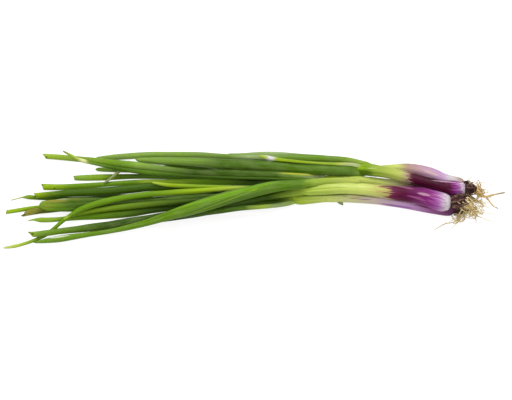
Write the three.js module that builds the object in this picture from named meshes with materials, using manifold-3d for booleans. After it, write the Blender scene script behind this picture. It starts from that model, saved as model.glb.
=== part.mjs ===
// A bunch of five purple-based spring onions, lying down. Each has a shaft that swells to a
// small bulb, a tuft of roots, and hollow leaves trimmed short at the far end.
// Millimetres, +Z up. The roots point to +X and the leaf ends to -X.
//
// Routes are drawn on a plane that leans back from the surface: u runs along the bunch, v up
// the plane, and lift is square to the plane, out of its upper side. The pieces are laid one
// after the other, the lowest first, so that each rests on the surface or on those below it.

import * as THREE from "three";
import { mergeVertices } from "three/addons/utils/BufferGeometryUtils.js";
import Module from "manifold-3d";

const wasm = await Module();
wasm.setup();

// Driving dimensions
const LEAN = THREE.MathUtils.degToRad(50);
const BUNCH_MIDDLE_U = 203.3;
const BUNCH_MIDDLE_Y = -1.4;
const GAP = 0.3;
const LAY_GAP = 0.7;
const LAY_STEP = 5;
const REST_FLAT = 0.3;
const HEADING_REACH = 1;
const MERGE_WITHIN = 1e-4;
const GROUND_SIZE = new THREE.Vector3(600, 300, 20);

// Leaves
const LEAF_SIDES = 8;
const LEAF_STEP = 14;
const LEAF_WALL = 0.8;
const LEAF_DEPTH = 0.72;
const LEAF_LEAST_HALF = 0.4;
const NECK_DEPTH = 0.45;
const NECK_RUN = 45;
const NECK_HOLD = 28;
const NECK_SPREAD = 1.3;
const LEAF_STIFFNESS = 0.02;
const RELAX_ROUNDS = 10;
const CUT_WITHIN = 0.01;

// How far from the axis a leaf's profile marks its outer wall and the wall of its bore
const OUTER_RING = 1;
const BORE_RING = 0.5;
const RING_SLACK = 0.25;

// Shafts
const SHAFT_SIDES = 12;
const SHAFT_STEPS = 14;
const SHAFT_CROWDING = 1.7;
const SHAFT_DEPTH = 0.97;
const SHAFT_TURN = THREE.MathUtils.degToRad(5);

// Colours
const BLUE_GREEN = 0x4f7a3c;
const MID_GREEN = 0x5f8f2a;
const DARK_GREEN = 0x35531c;
const BRIGHT_GREEN = 0x8fb41f;
const DRY_OLIVE = 0x8a8a3e;
const PURPLE = 0x7c2a63;
const ROOT_TAN = 0xb89a5c;
const SMOOTH_SKIN = 0.5;
const DRY_SKIN = 0.8;

// Every row of a route is u, v and half the width there. A shaft's rows run from its roots to
// its neck, a leaf's from the neck to its end. A leaf with a bore is hollow that far in from
// its cut end, and its slant is how much further the upper edge of the cut reaches.
const PIECES = [
  {
    name: "onion_5_shaft",
    colour: PURPLE,
    route: [[368, 3, 2.6], [366.5, 3.2, 3.8], [361, 3.8, 4.8], [352, 5, 5], [336, 7.6, 4.6],
      [320, 11.2, 4.2], [304, 13.8, 3.8], [280, 15.9, 3.9], [256, 16.8, 3.7]],
  },
  {
    name: "onion_1_shaft",
    colour: PURPLE,
    route: [[363.8, -9.3, 2.8], [362.4, -8.9, 4], [358, -7.6, 4.8], [344, -5.2, 4.9],
      [320, -1.2, 4.5], [296, 1.6, 4.4], [264, 2.8, 4.4], [240, 0.8, 4.6], [231, 0.2, 3.8]],
  },
  {
    name: "onion_4_shaft",
    colour: PURPLE,
    route: [[371.8, 13, 2.6], [370.4, 13.2, 3.8], [365, 13.8, 4.6], [356, 16, 4.7],
      [344, 20.8, 5.1], [328, 24, 4.9], [316, 24.6, 4], [302, 24, 3.4], [291, 24, 2.6]],
  },
  {
    name: "onion_4_leaf_1",
    colour: MID_GREEN,
    route: [[298, 25.6, 3], [288, 27.5, 2.6], [264, 33, 2.4], [240, 34.8, 2.4],
      [224, 36.2, 2.4], [210, 36.4, 2.4], [192, 36, 1.6], [182, 36.8, 0.7]],
  },
  {
    name: "onion_4_leaf_2",
    colour: MID_GREEN,
    route: [[298, 25, 2.6], [284, 27.5, 2.2], [256, 29, 2.4], [208, 28.5, 2.6],
      [160, 26.5, 2.8], [120, 24.6, 2.8], [96, 24.4, 2.4], [80, 24.4, 1.7], [76, 24.6, 1.3]],
  },
  {
    name: "onion_3_shaft",
    colour: PURPLE,
    route: [[372.7, 8.8, 3], [371.3, 8.8, 4.4], [367, 9, 5.8], [360.5, 9.3, 6], [352, 10.8, 5],
      [336, 15.3, 4.5], [320, 19.5, 4.6], [308, 22.2, 4.4], [296, 24.2, 5], [284, 25.6, 4.4]],
  },
  {
    name: "onion_3_leaf_1",
    colour: BLUE_GREEN,
    route: [[300, 25.4, 3.4], [293, 27.8, 3], [286, 29.8, 2.8], [279, 31.3, 2.8],
      [272, 32.2, 2.8], [256, 33, 2.9], [240, 33.3, 2.9], [216, 33.8, 2.5], [196, 34.2, 2.2],
      [176, 35, 2.3], [160, 36, 2.5], [136, 36.2, 2.5], [120, 36.2, 2.5], [104, 35.2, 2.6],
      [90, 34.2, 2.3], [76, 33, 1.5]],
  },
  {
    name: "onion_3_leaf_2",
    colour: BLUE_GREEN,
    route: [[296, 22.8, 4.6], [272, 23.7, 4.4], [240, 24.8, 4.4], [208, 27, 4.8],
      [192, 27.8, 4.8], [176, 28.6, 4.7], [160, 30.2, 3.7], [144, 30.8, 3.4], [128, 31.2, 3.2],
      [120, 31.6, 2.5], [112, 32, 2], [108, 32.4, 0.9]],
  },
  {
    name: "onion_3_leaf_3",
    colour: BRIGHT_GREEN,
    route: [[292, 26, 2], [282, 28.4, 1.5], [272, 28.7, 1.3], [256, 29.4, 1.1],
      [240, 30.6, 1.2], [228, 31.8, 1.4], [220, 32.8, 1.7], [214, 34, 1.8], [207, 35.4, 0.6]],
  },
  {
    name: "onion_5_leaf_1",
    colour: MID_GREEN,
    bore: 12,
    slant: 1,
    route: [[262, 16, 2.2], [240, 15.6, 1.8], [210, 16.4, 2], [184, 17.2, 2], [152, 18, 2],
      [120, 18.8, 2], [104, 18.8, 2.1], [80, 18, 2.6], [62, 17.6, 2.2], [58.5, 17.6, 1.8]],
  },
  {
    name: "onion_5_leaf_2",
    colour: MID_GREEN,
    bore: 14,
    slant: -1,
    route: [[262, 14.8, 2], [232, 14, 1.8], [210, 13.8, 2.5], [184, 14.4, 2.9],
      [160, 14.8, 2.6], [136, 14.6, 2], [120, 14.8, 1.9], [104, 14, 2], [80, 12.2, 2.1],
      [64, 11, 2.4], [48, 10.2, 2.5], [32.8, 10.5, 2.6]],
  },
  {
    name: "onion_2_shaft",
    colour: PURPLE,
    route: [[360.8, -2.6, 3.6], [359.6, -2.5, 5.2], [356, -2, 6.6], [350.5, -1.1, 7],
      [344, 1.3, 6.5], [336, 3.4, 6.1], [320, 5, 5.4], [308, 6.4, 4.8], [296, 8.2, 4.4],
      [280, 9.4, 4.3], [264, 8.8, 4.3], [246, 7.6, 4], [237, 7.4, 3.2]],
  },
  {
    name: "onion_5_leaf_3",
    colour: DRY_OLIVE,
    route: [[262, 17, 1.6], [210, 18.6, 1.4], [160, 21, 1.4], [120, 25, 1.4], [102, 25.2, 1.4],
      [96, 23.4, 1.4], [90, 18.6, 1.2], [83, 13.4, 0.8]],
  },
  {
    name: "onion_5_leaf_4",
    colour: MID_GREEN,
    bore: 16,
    slant: 3,
    route: [[262, 17.8, 2.4], [240, 19, 2.6], [224, 19.6, 3.2], [208, 20, 3.4],
      [192, 20.6, 3.4], [176, 21.2, 3.3], [160, 21.6, 2.8], [144, 23, 2.8], [132, 24.6, 2.8],
      [120, 26.2, 2.9], [108, 27.8, 3.1], [96, 29, 3], [80, 30.8, 2.8], [64, 32.6, 2.4],
      [48, 34.2, 2.3], [33.5, 35.2, 2.1]],
  },
  {
    name: "onion_5_leaf_5",
    colour: DARK_GREEN,
    route: [[262, 15.5, 1.4], [210, 17.2, 1], [176, 18, 1.2], [152, 19, 1.5], [136, 20.4, 1.7],
      [120, 21.8, 1.9], [104, 23.6, 1.8], [88, 26.4, 1.4], [80, 28, 1.3], [72, 29.8, 1.3],
      [67, 31.2, 1.7], [63, 32.6, 1.4], [58, 35, 1.2], [49.5, 39.6, 0.6]],
  },
  {
    name: "onion_1_leaf_1",
    colour: MID_GREEN,
    bore: 10,
    slant: -1,
    route: [[238, 1, 2.2], [208, -1, 2], [160, -1.6, 2.4], [120, -1.4, 2.4], [80, -2.8, 2.4],
      [48, -4.8, 2.2], [24, -6.8, 1.8], [16, -8, 1.7], [4.5, -9.8, 1.6]],
  },
  {
    name: "onion_2_leaf_1",
    colour: DARK_GREEN,
    route: [[244, 5, 2], [208, 5, 1.8], [160, 6, 1.8], [104, 3.2, 1.8], [72, 1.4, 1.5],
      [48, 1, 1.5], [32, 1.6, 1.7], [19.5, 2.4, 1.5], [17.5, 2, 0.5], [8, -0.3, 0.35]],
  },
  {
    name: "onion_1_leaf_2",
    colour: DRY_OLIVE,
    route: [[238, -0.5, 1.6], [200, -2.5, 1.5], [150, -3, 1.5], [100, -4, 1.6], [60, -6, 2],
      [48, -7.2, 2.4], [40, -7.8, 2.8], [32, -8.4, 2.8], [24, -9.8, 2.6], [16.5, -12.2, 1.6]],
  },
  {
    name: "onion_1_leaf_3",
    colour: BLUE_GREEN,
    route: [[238, 1.4, 2.4], [208, 1.5, 2.2], [176, 3, 2.4], [152, 1.2, 3.1], [120, -0.4, 2.8],
      [96, -1.6, 3.4], [80, -2.4, 4.4], [68, -3.2, 5.6], [56, -3.8, 5.8], [44, -4.4, 4.8],
      [36, -4.2, 3.8], [31.5, -3.4, 2]],
  },
  {
    name: "onion_2_leaf_2",
    colour: DARK_GREEN,
    bore: 14,
    slant: 2,
    route: [[244, 7.5, 2.2], [208, 8, 2], [176, 8.4, 2.2], [152, 9.4, 2.4], [136, 9.9, 3],
      [120, 10.3, 3.4], [104, 8.8, 3.6], [88, 7.2, 3.5], [72, 6.2, 3.4], [56, 5.4, 3],
      [40, 4.4, 2.4], [27, 3.6, 2]],
  },
  {
    name: "onion_1_leaf_4",
    colour: DARK_GREEN,
    route: [[238, -0.4, 2.2], [208, -2.4, 2], [176, -4, 2.2], [152, -5.4, 2.4],
      [136, -6.4, 2.6], [120, -8, 3.1], [104, -10.5, 3.3], [80, -12.6, 3.1], [64, -13.8, 2.4],
      [48, -15.4, 1.9], [36, -16, 2], [28.5, -15.8, 1.6], [26, -15.8, 0.5], [22, -16.7, 0.35]],
  },
  {
    name: "onion_1_leaf_5",
    colour: MID_GREEN,
    route: [[238, 1, 2], [208, 1, 1.8], [176, 1.6, 1.8], [152, -0.8, 1.9], [128, -2.6, 2.2],
      [104, -5, 2.5], [80, -7.8, 2.1], [64, -10.6, 1.6], [54, -13.4, 1.2], [49, -15, 0.7]],
  },
  {
    name: "onion_2_leaf_3",
    colour: BRIGHT_GREEN,
    route: [[244, 8.5, 2], [210, 9.4, 1.8], [184, 9.8, 1.8], [172, 10.2, 1.8], [160, 10.6, 1.8],
      [148, 11.2, 1.7], [136, 11.8, 1.6], [128, 12.9, 1.3], [121, 14.2, 0.5]],
  },
  {
    name: "onion_2_leaf_4",
    colour: BRIGHT_GREEN,
    route: [[244, 10, 2.2], [210, 9.8, 1.9], [188, 9.3, 1.8], [176, 8.6, 1.9], [160, 7.4, 2.2],
      [144, 6.4, 2.4], [132, 5.4, 2.4], [120, 4.6, 2.4], [108, 3.2, 2.4], [96, 1.4, 2.5],
      [84, -1.2, 2.6], [74, -4, 2.5], [64, -7.7, 2.2], [58, -11.2, 1.7], [53, -14.8, 1.6],
      [48, -18.8, 1.6], [43, -23.2, 1.6], [36, -28.4, 1.6], [28, -32, 1.4], [20, -34.8, 1.3],
      [11, -37.1, 1.4], [2.5, -38.3, 0.6]],
  },
  {
    name: "onion_1_leaf_6",
    colour: DARK_GREEN,
    route: [[238, 0, 3], [224, -2, 2.2], [210, -2.8, 2.2], [192, -4.6, 2.2], [176, -7.4, 2.6],
      [160, -10.6, 2.8], [140, -14, 2.4], [120, -17.5, 1.8], [104, -21.5, 1.2]],
  },
  {
    name: "onion_2_leaf_5",
    colour: DARK_GREEN,
    route: [[243, 6.4, 2.4], [228, 4.6, 2.4], [216, 2.8, 2.5], [200, -0.4, 2.5], [184, -4, 2.4],
      [168, -7.6, 2.2], [150, -11.4, 1.8], [134, -15, 1.2]],
  },
  {
    name: "onion_1_leaf_7",
    colour: DARK_GREEN,
    bore: 16,
    slant: 4,
    route: [[237, -1.5, 2], [224, -4, 1.8], [210, -5.4, 1.8], [192, -6.6, 2.1],
      [176, -8.6, 2.4], [160, -10.6, 2.4], [144, -11.6, 2.8], [132, -12.6, 3.1],
      [120, -14.6, 2.9], [104, -17.4, 3.4], [88, -20.4, 3.6], [72, -22.2, 3.3],
      [64, -23.2, 2.9], [48, -25, 2.5], [36, -26.6, 2.5], [28, -27.4, 2.3], [22.5, -27.2, 2]],
  },
  {
    name: "onion_2_leaf_6",
    colour: MID_GREEN,
    route: [[288, 15.2, 1.8], [278, 15.6, 2.2], [264, 15.2, 2.7], [252, 14.2, 3.1],
      [241, 12.9, 3.6], [232, 12, 4], [216, 10, 4.8], [200, 6.2, 5], [184, 2.2, 5.4],
      [168, -2.6, 5.6], [152, -7.4, 5], [136, -12.2, 3.9], [120, -17.4, 2.9], [104, -21.6, 2.4],
      [88, -25, 1.9], [72, -27.4, 2], [56, -29.8, 2.6], [48, -31, 2.8], [40, -32.2, 2.2],
      [33, -33.2, 1.4], [27, -34, 0.6]],
  },
];

// Root tufts: a dark knob carries the roots, and each root's course is drawn at random
const ROOT_SEED = 12;
const KNOB_LENGTH = 9;
const KNOB_SIDES = 8;
const KNOB_SWELL = 1.25;
const KNOB_HEADING_REACH = 6;

// Shares of the knob's half width and length, from the shaft outwards
const KNOB_OUTLINE = [[0, 0], [0.85, 0], [1.02, 0.25], [0.85, 0.6], [0.4, 1], [0, 1]];

const ROOTS_PER_TUFT = 12;
const ROOT_HALF = 0.6;
const ROOT_SIDES = 3;
const ROOT_STEPS = 5;
const ROOT_SHORTEST = 12;
const ROOT_LONGEST = 25;
const ROOT_FIRST_START = 0.35;
const ROOT_LAST_START = 0.9;
const ROOT_FORWARD = 0.5;
const ROOT_CURL = 2.4;
const ROOT_DROOP = 1.2;
const ROOT_UPWARD = 0.3;
const ROOT_TRIES = 12;
const DRAW_FACTOR = 1664525;
const DRAW_STEP = 1013904223;

// Roots that stray from the tangle, drawn like the routes above, each from its own knob
const STRAY_ROOTS = {
  1: [[[369, -13], [364, -17.4], [356, -19], [347, -24]]],
  2: [[[370, -8], [380, -12], [390, -16], [395, -17.4]],
    [[372, -5], [386, -10], [398, -11], [406, -13.6]]],
  3: [[[380, 6], [388, 2.6], [395, 4.2], [404, 6]],
    [[381, 4], [389, 0.5], [393, -4], [397, -6.6]]],
};

const ALONG = new THREE.Vector3(1, 0, 0);
const UP_THE_PLANE = new THREE.Vector3(0, Math.sin(LEAN), Math.cos(LEAN));
const OUT_OF_PLANE = new THREE.Vector3(0, -Math.cos(LEAN), Math.sin(LEAN));

// A point of the drawing plane, lifted off it, in the part's own frame
function inSpace(u, v, lift) {
  return new THREE.Vector3(-BUNCH_MIDDLE_U, -BUNCH_MIDDLE_Y, 0)
    .addScaledVector(ALONG, u)
    .addScaledVector(UP_THE_PLANE, v)
    .addScaledVector(OUT_OF_PLANE, lift);
}

function isShaft(piece) {
  return piece.name.endsWith("shaft");
}

function smoothRise(x, length) {
  return THREE.MathUtils.smoothstep(x, 0, length);
}

// Places at even distances along a route: where, how far along, and the half width and depth
function stationsOf(piece) {
  const curve = new THREE.CatmullRomCurve3(
    piece.route.map((row) => new THREE.Vector3(row[0], row[1], row[2])),
    false,
    "centripetal",
  );
  const length = curve.getLength();
  const count = Math.round(length / LAY_STEP);
  return curve.getSpacedPoints(count).map((point, k) => {
    const s = (length * k) / count;
    const half = Math.max(point.z, LEAF_LEAST_HALF);
    const thin = NECK_DEPTH + (1 - NECK_DEPTH) * smoothRise(s, NECK_RUN);
    const depth = isShaft(piece) ? half * SHAFT_DEPTH : Math.max(half * LEAF_DEPTH * thin, LEAF_LEAST_HALF);
    return { u: point.x, v: point.y, s, half, depth };
  });
}

// The least lift that keeps a station off the surface
function liftOverSurface(stations, k, sink) {
  const before = stations[Math.max(k - 1, 0)];
  const after = stations[Math.min(k + 1, stations.length - 1)];
  const du = after.u - before.u;
  const dv = after.v - before.v;
  const level = du / Math.hypot(du, dv);
  const at = stations[k];
  const sideways = at.half * level * Math.cos(LEAN);
  const reach = Math.hypot(sideways, at.depth * Math.sin(LEAN));
  return (reach - sink - at.v * Math.cos(LEAN)) / Math.sin(LEAN);
}

// The least lift that keeps a station clear of a piece laid before it
function liftOverPiece(at, other) {
  let least = -Infinity;
  let nearest = Infinity;
  for (let k = 1; k < other.stations.length; k += 1) {
    const a = other.stations[k - 1];
    const b = other.stations[k];
    const du = b.u - a.u;
    const dv = b.v - a.v;
    const along = ((at.u - a.u) * du + (at.v - a.v) * dv) / (du * du + dv * dv);
    const f = THREE.MathUtils.clamp(along, 0, 1);
    const away = Math.hypot(a.u + f * du - at.u, a.v + f * dv - at.v);
    if (away < nearest) {
      nearest = away;
      const reach = at.half + THREE.MathUtils.lerp(a.half, b.half, f);
      const depths = at.depth + THREE.MathUtils.lerp(a.depth, b.depth, f);
      const lift = THREE.MathUtils.lerp(a.lift, b.lift, f);
      const share = away / reach;
      least = share < 1 ? lift + depths * Math.sqrt(1 - share * share) + LAY_GAP : -Infinity;
    }
  }
  return least;
}

// Lays a piece on the surface and on the pieces before it, bending no tighter than it would
function lay(piece, laid, neck) {
  const stations = piece.stations;
  const sink = isShaft(piece) ? REST_FLAT : 0;
  const least = stations.map((at, k) => {
    const lifts = laid.map((other) => liftOverPiece(at, other));
    return Math.max(liftOverSurface(stations, k, sink), ...lifts);
  });
  let lifts = stations.map((at) => Math.max(...stations.map((other, k) => {
    const away = at.s - other.s;
    return least[k] - (LEAF_STIFFNESS * away * away) / 2;
  })));
  for (let round = 0; round < RELAX_ROUNDS; round += 1) {
    lifts = lifts.map((lift, k) => {
      const before = lifts[Math.max(k - 1, 0)];
      const after = lifts[Math.min(k + 1, lifts.length - 1)];
      return Math.max(least[k], (before + 2 * lift + after) / 4);
    });
  }
  stations.forEach((at, k) => {
    const hold = 1 - smoothRise(at.s, NECK_HOLD);
    at.lift = isShaft(piece) ? lifts[k] : THREE.MathUtils.lerp(lifts[k], neck, hold);
  });
}

// Position, half width and half depth anywhere along a laid piece
function stationAt(stations, s) {
  const last = stations.length - 1;
  const place = THREE.MathUtils.clamp((s / stations[last].s) * last, 0, last);
  const k = Math.min(Math.floor(place), last - 1);
  const f = place - k;
  const mix = (key) => THREE.MathUtils.lerp(stations[k][key], stations[k + 1][key], f);
  return { centre: inSpace(mix("u"), mix("v"), mix("lift")), half: mix("half"), depth: mix("depth") };
}

// A closed solid from a geometry whose doubled corners are merged
function solidOf(geometry) {
  geometry.deleteAttribute("normal");
  geometry.deleteAttribute("uv");
  const merged = mergeVertices(geometry, MERGE_WITHIN);
  const corners = merged.index.array;
  const kept = [];
  for (let k = 0; k < corners.length; k += 3) {
    const [a, b, c] = corners.slice(k, k + 3);
    if (a !== b && b !== c && c !== a) {
      kept.push(a, b, c);
    }
  }
  return new wasm.Manifold(new wasm.Mesh({
    numProp: 3,
    vertProperties: new Float32Array(merged.attributes.position.array),
    triVerts: new Uint32Array(kept),
  }));
}

// Turns a unit profile, then bends the turned body along the piece. In the profile, x is the
// ring and y the distance along. Extra swells the body, and a slant pushes the upper edge of the
// cut further. A shaft's section is turned so that one of its flats faces the surface.
function bentAlong(piece, profile, sides, extra) {
  const total = piece.stations[piece.stations.length - 1].s;
  const turn = isShaft(piece) ? SHAFT_TURN : 0;
  const geometry = new THREE.LatheGeometry(profile, sides);
  const corners = geometry.attributes.position;
  for (let k = 0; k < corners.count; k += 1) {
    const ring = Math.hypot(corners.getX(k), corners.getZ(k));
    const angle = Math.atan2(corners.getX(k), corners.getZ(k)) + turn;
    const s = corners.getY(k);
    const at = stationAt(piece.stations, s);
    const ahead = stationAt(piece.stations, s + HEADING_REACH).centre;
    const behind = stationAt(piece.stations, s - HEADING_REACH).centre;
    const heading = ahead.sub(behind).normalize();
    const side = new THREE.Vector3().crossVectors(heading, OUT_OF_PLANE).normalize();
    const out = new THREE.Vector3().crossVectors(side, heading);
    const wall = ring > OUTER_RING - RING_SLACK ? -extra : LEAF_WALL;
    const open = ring > RING_SLACK ? 1 : 0;
    const slant = piece.slant && total - s < CUT_WITHIN ? (-piece.slant * Math.cos(angle)) / 2 : 0;
    const point = at.centre
      .addScaledVector(side, -open * (at.half - wall) * Math.cos(angle))
      .addScaledVector(out, open * (at.depth - wall) * Math.sin(angle))
      .addScaledVector(heading, slant);
    corners.setXYZ(k, point.x, point.y, point.z);
  }
  return solidOf(geometry);
}

function leafSolid(piece, extra = 0) {
  const total = piece.stations[piece.stations.length - 1].s;
  const steps = Math.round(total / LEAF_STEP);
  const profile = [new THREE.Vector2(0, 0)];
  for (let k = 0; k <= steps; k += 1) {
    profile.push(new THREE.Vector2(OUTER_RING, (total * k) / steps));
  }
  if (piece.bore && extra === 0) {
    profile.push(new THREE.Vector2(BORE_RING, total));
    profile.push(new THREE.Vector2(BORE_RING, total - piece.bore));
    profile.push(new THREE.Vector2(0, total - piece.bore));
  } else {
    profile.push(new THREE.Vector2(0, total));
  }
  return bentAlong(piece, profile, LEAF_SIDES, extra);
}

function shaftSolid(piece, extra = 0) {
  const total = piece.stations[piece.stations.length - 1].s;
  const profile = [new THREE.Vector2(0, 0)];
  for (let k = 0; k <= SHAFT_STEPS; k += 1) {
    profile.push(new THREE.Vector2(OUTER_RING, total * (k / SHAFT_STEPS) ** SHAFT_CROWDING));
  }
  profile.push(new THREE.Vector2(0, total));
  return bentAlong(piece, profile, SHAFT_SIDES, extra);
}

function pieceSolid(piece, extra) {
  return isShaft(piece) ? shaftSolid(piece, extra) : leafSolid(piece, extra);
}

// Repeatable draws between 0 and 1
function drawsFrom(seed) {
  let state = seed;
  return () => {
    state = (Math.imul(state, DRAW_FACTOR) + DRAW_STEP) >>> 0;
    return state / 2 ** 32;
  };
}

const group = new THREE.Group();

function addMesh(name, solid, colour, roughness) {
  const mesh = solid.getMesh();
  const geometry = new THREE.BufferGeometry();
  geometry.setAttribute("position", new THREE.BufferAttribute(mesh.vertProperties, 3));
  geometry.setIndex(new THREE.BufferAttribute(mesh.triVerts, 1));
  geometry.computeVertexNormals();
  const material = new THREE.MeshStandardMaterial({ color: colour, roughness, metalness: 0 });
  const part = new THREE.Mesh(geometry, material);
  part.name = name;
  group.add(part);
}

function largestBody(solid) {
  const bodies = solid.decompose();
  return bodies.reduce((best, body) => (body.volume() > best.volume() ? body : best));
}

// Lay the pieces in order. A leaf leaves its neck at a height of its own within the neck.
const shaftOf = {};
const laid = [];
for (const piece of PIECES) {
  piece.onion = Number(piece.name.split("_")[1]);
  piece.stations = stationsOf(piece);
  if (isShaft(piece)) {
    lay(piece, laid);
    shaftOf[piece.onion] = piece;
  } else {
    const own = shaftOf[piece.onion];
    const neck = own.stations[own.stations.length - 1];
    const siblings = PIECES.filter((other) => other.name.startsWith(`onion_${piece.onion}_leaf`));
    const share = (siblings.indexOf(piece) + 0.5) / siblings.length;
    const height = neck.lift + NECK_SPREAD * neck.half * (share - 0.5);
    lay(piece, laid.filter((other) => other !== own), height);
  }
  laid.push(piece);
}

// Cut each piece back from the ones that press into it, the upper ones staying whole
const ground = solidOf(
  new THREE.BoxGeometry(...GROUND_SIZE.toArray()).translate(0, 0, -GROUND_SIZE.z / 2),
);
const cutOrder = [...laid.filter(isShaft), ...laid.filter((piece) => !isShaft(piece)).reverse()];
const finished = [];
for (const piece of cutOrder) {
  let solid = pieceSolid(piece, 0);
  for (const other of finished) {
    if (solid.intersect(other.spaced).volume() > 0) {
      solid = solid.subtract(other.spaced);
    }
  }
  solid = largestBody(solid.subtract(ground));
  addMesh(piece.name, solid, piece.colour, SMOOTH_SKIN);
  finished.push({ piece, spaced: pieceSolid(piece, GAP) });
}

// A root is a thin strand along a course
function rootSolid(points, half) {
  const section = new THREE.Shape();
  for (let k = 0; k < ROOT_SIDES; k += 1) {
    const angle = (2 * Math.PI * k) / ROOT_SIDES;
    section[k === 0 ? "moveTo" : "lineTo"](half * Math.cos(angle), half * Math.sin(angle));
  }
  section.closePath();
  const course = new THREE.CatmullRomCurve3(points);
  const settings = { steps: ROOT_STEPS, bevelEnabled: false, extrudePath: course };
  return solidOf(new THREE.ExtrudeGeometry(section, settings));
}

// The knob swells from the shaft's end, then narrows
function knobSolid(end, heading, half) {
  const profile = KNOB_OUTLINE.map(([x, y]) => new THREE.Vector2(x * half, y * KNOB_LENGTH));
  const turn = new THREE.Quaternion().setFromUnitVectors(new THREE.Vector3(0, 1, 0), heading);
  const knob = new THREE.LatheGeometry(profile, KNOB_SIDES).applyQuaternion(turn);
  return solidOf(knob.translate(end.x, end.y, end.z));
}

// A course that sets off outward from the knob, curls round an axis of its own and droops
function rootCourse(knobEnd, heading, half, draw) {
  const random = new THREE.Vector3(draw() - 0.5, draw() - 0.5, draw() - 0.5);
  const outward = random.clone().cross(heading).normalize();
  const axis = new THREE.Vector3(draw() - 0.5, draw() - 0.5, draw() - 0.5).normalize();
  const length = THREE.MathUtils.lerp(ROOT_SHORTEST, ROOT_LONGEST, draw());
  const start = THREE.MathUtils.lerp(ROOT_FIRST_START, ROOT_LAST_START, draw()) * KNOB_LENGTH;
  const at = knobEnd.clone().addScaledVector(heading, start);
  const going = outward.clone().addScaledVector(heading, ROOT_FORWARD + draw()).normalize();
  going.z *= going.z > 0 ? ROOT_UPWARD : 1;
  const points = [at.clone()];
  for (let k = 0; k < ROOT_STEPS; k += 1) {
    at.addScaledVector(going, length / ROOT_STEPS);
    at.z = Math.max(at.z, half + GAP);
    points.push(at.clone());
    going.applyAxisAngle(axis, ROOT_CURL / ROOT_STEPS);
    going.z -= ROOT_DROOP / ROOT_STEPS;
    going.normalize();
  }
  return points;
}

// A stray root's course, which comes down from the knob to the surface
function strayCourse(knobPoint, knobLift, route, half) {
  const points = [knobPoint];
  route.forEach(([u, v], k) => {
    const onSurface = (half + GAP - v * Math.cos(LEAN)) / Math.sin(LEAN);
    const fall = smoothRise(k + 1, route.length - 1);
    points.push(inSpace(u, v, THREE.MathUtils.lerp(knobLift, onSurface, fall)));
  });
  return points;
}

// Grow each onion's tuft, turning down a root that would come near another piece
const draw = drawsFrom(ROOT_SEED);
const shaftsSpaced = finished.filter(({ piece }) => isShaft(piece));
const tuftsSpaced = [];
for (const onion of Object.keys(shaftOf)) {
  const { stations } = shaftOf[onion];
  const first = stationAt(stations, 0);
  const heading = first.centre.clone().sub(stationAt(stations, KNOB_HEADING_REACH).centre).normalize();
  const knobEnd = first.centre.clone().addScaledVector(heading, GAP);
  const knobPoint = first.centre.clone().addScaledVector(heading, KNOB_LENGTH / 2);
  const others = [...shaftsSpaced.map((other) => other.spaced), ...tuftsSpaced];
  const isClear = (solid) => others.every((other) => solid.intersect(other).volume() === 0);
  let tuft = knobSolid(knobEnd, heading, first.half * KNOB_SWELL);
  let spaced = tuft;
  const grow = (points) => {
    const wide = rootSolid(points, ROOT_HALF + GAP);
    if (!isClear(wide)) {
      return false;
    }
    tuft = tuft.add(rootSolid(points, ROOT_HALF));
    spaced = spaced.add(wide);
    return true;
  };
  for (const route of STRAY_ROOTS[onion] ?? []) {
    grow(strayCourse(knobPoint, stations[0].lift, route, ROOT_HALF));
  }
  let grown = 0;
  for (let k = 0; k < ROOTS_PER_TUFT * ROOT_TRIES && grown < ROOTS_PER_TUFT; k += 1) {
    if (grow(rootCourse(knobEnd, heading, ROOT_HALF, draw))) {
      grown += 1;
    }
  }
  for (const other of others) {
    tuft = tuft.subtract(other);
  }
  addMesh(`onion_${onion}_roots`, largestBody(tuft.subtract(ground)), ROOT_TAN, DRY_SKIN);
  tuftsSpaced.push(spaced);
}

export default group;
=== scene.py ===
import math

import bpy
import numpy as np
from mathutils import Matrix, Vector


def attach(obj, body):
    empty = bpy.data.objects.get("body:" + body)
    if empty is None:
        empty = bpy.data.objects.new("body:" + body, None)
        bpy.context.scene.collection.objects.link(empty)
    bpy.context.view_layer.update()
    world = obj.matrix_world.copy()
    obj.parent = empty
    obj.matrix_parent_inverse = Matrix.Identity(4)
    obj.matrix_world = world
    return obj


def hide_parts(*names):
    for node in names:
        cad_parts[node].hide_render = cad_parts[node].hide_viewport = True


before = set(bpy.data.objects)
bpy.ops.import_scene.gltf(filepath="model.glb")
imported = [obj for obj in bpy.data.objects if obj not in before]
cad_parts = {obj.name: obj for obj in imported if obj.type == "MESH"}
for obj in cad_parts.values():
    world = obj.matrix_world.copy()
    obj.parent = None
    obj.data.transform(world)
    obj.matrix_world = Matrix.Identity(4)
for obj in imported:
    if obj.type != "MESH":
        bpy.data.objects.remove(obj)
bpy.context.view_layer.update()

# A bunch of five purple-based spring onions, lying down. Routes, half widths and lengths are in
# millimetres, as on the drawing plane of the solid model; meshes are in metres.
MM = 0.001
TURN = 2 * math.pi

# The drawing plane leans back from the surface: u runs along the bunch, v up the plane, and
# lift is square to the plane, out of its upper side.
LEAN = math.radians(50)
BUNCH_MIDDLE = np.array([-203.3, 1.4, 0.0])
ALONG = np.array([1.0, 0.0, 0.0])
UP_THE_PLANE = np.array([0.0, math.sin(LEAN), math.cos(LEAN)])
OUT_OF_PLANE = np.array([0.0, -math.cos(LEAN), math.sin(LEAN)])

# How the pieces are laid on each other: the gap between them, the distance between the places
# where they are compared, how far a shaft is pressed flat where it rests, and how many rounds
# of smoothing follow
LAY_GAP = 0.7
LAY_STEP = 5.0
REST_FLAT = 0.3
RELAX_ROUNDS = 10

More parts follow.
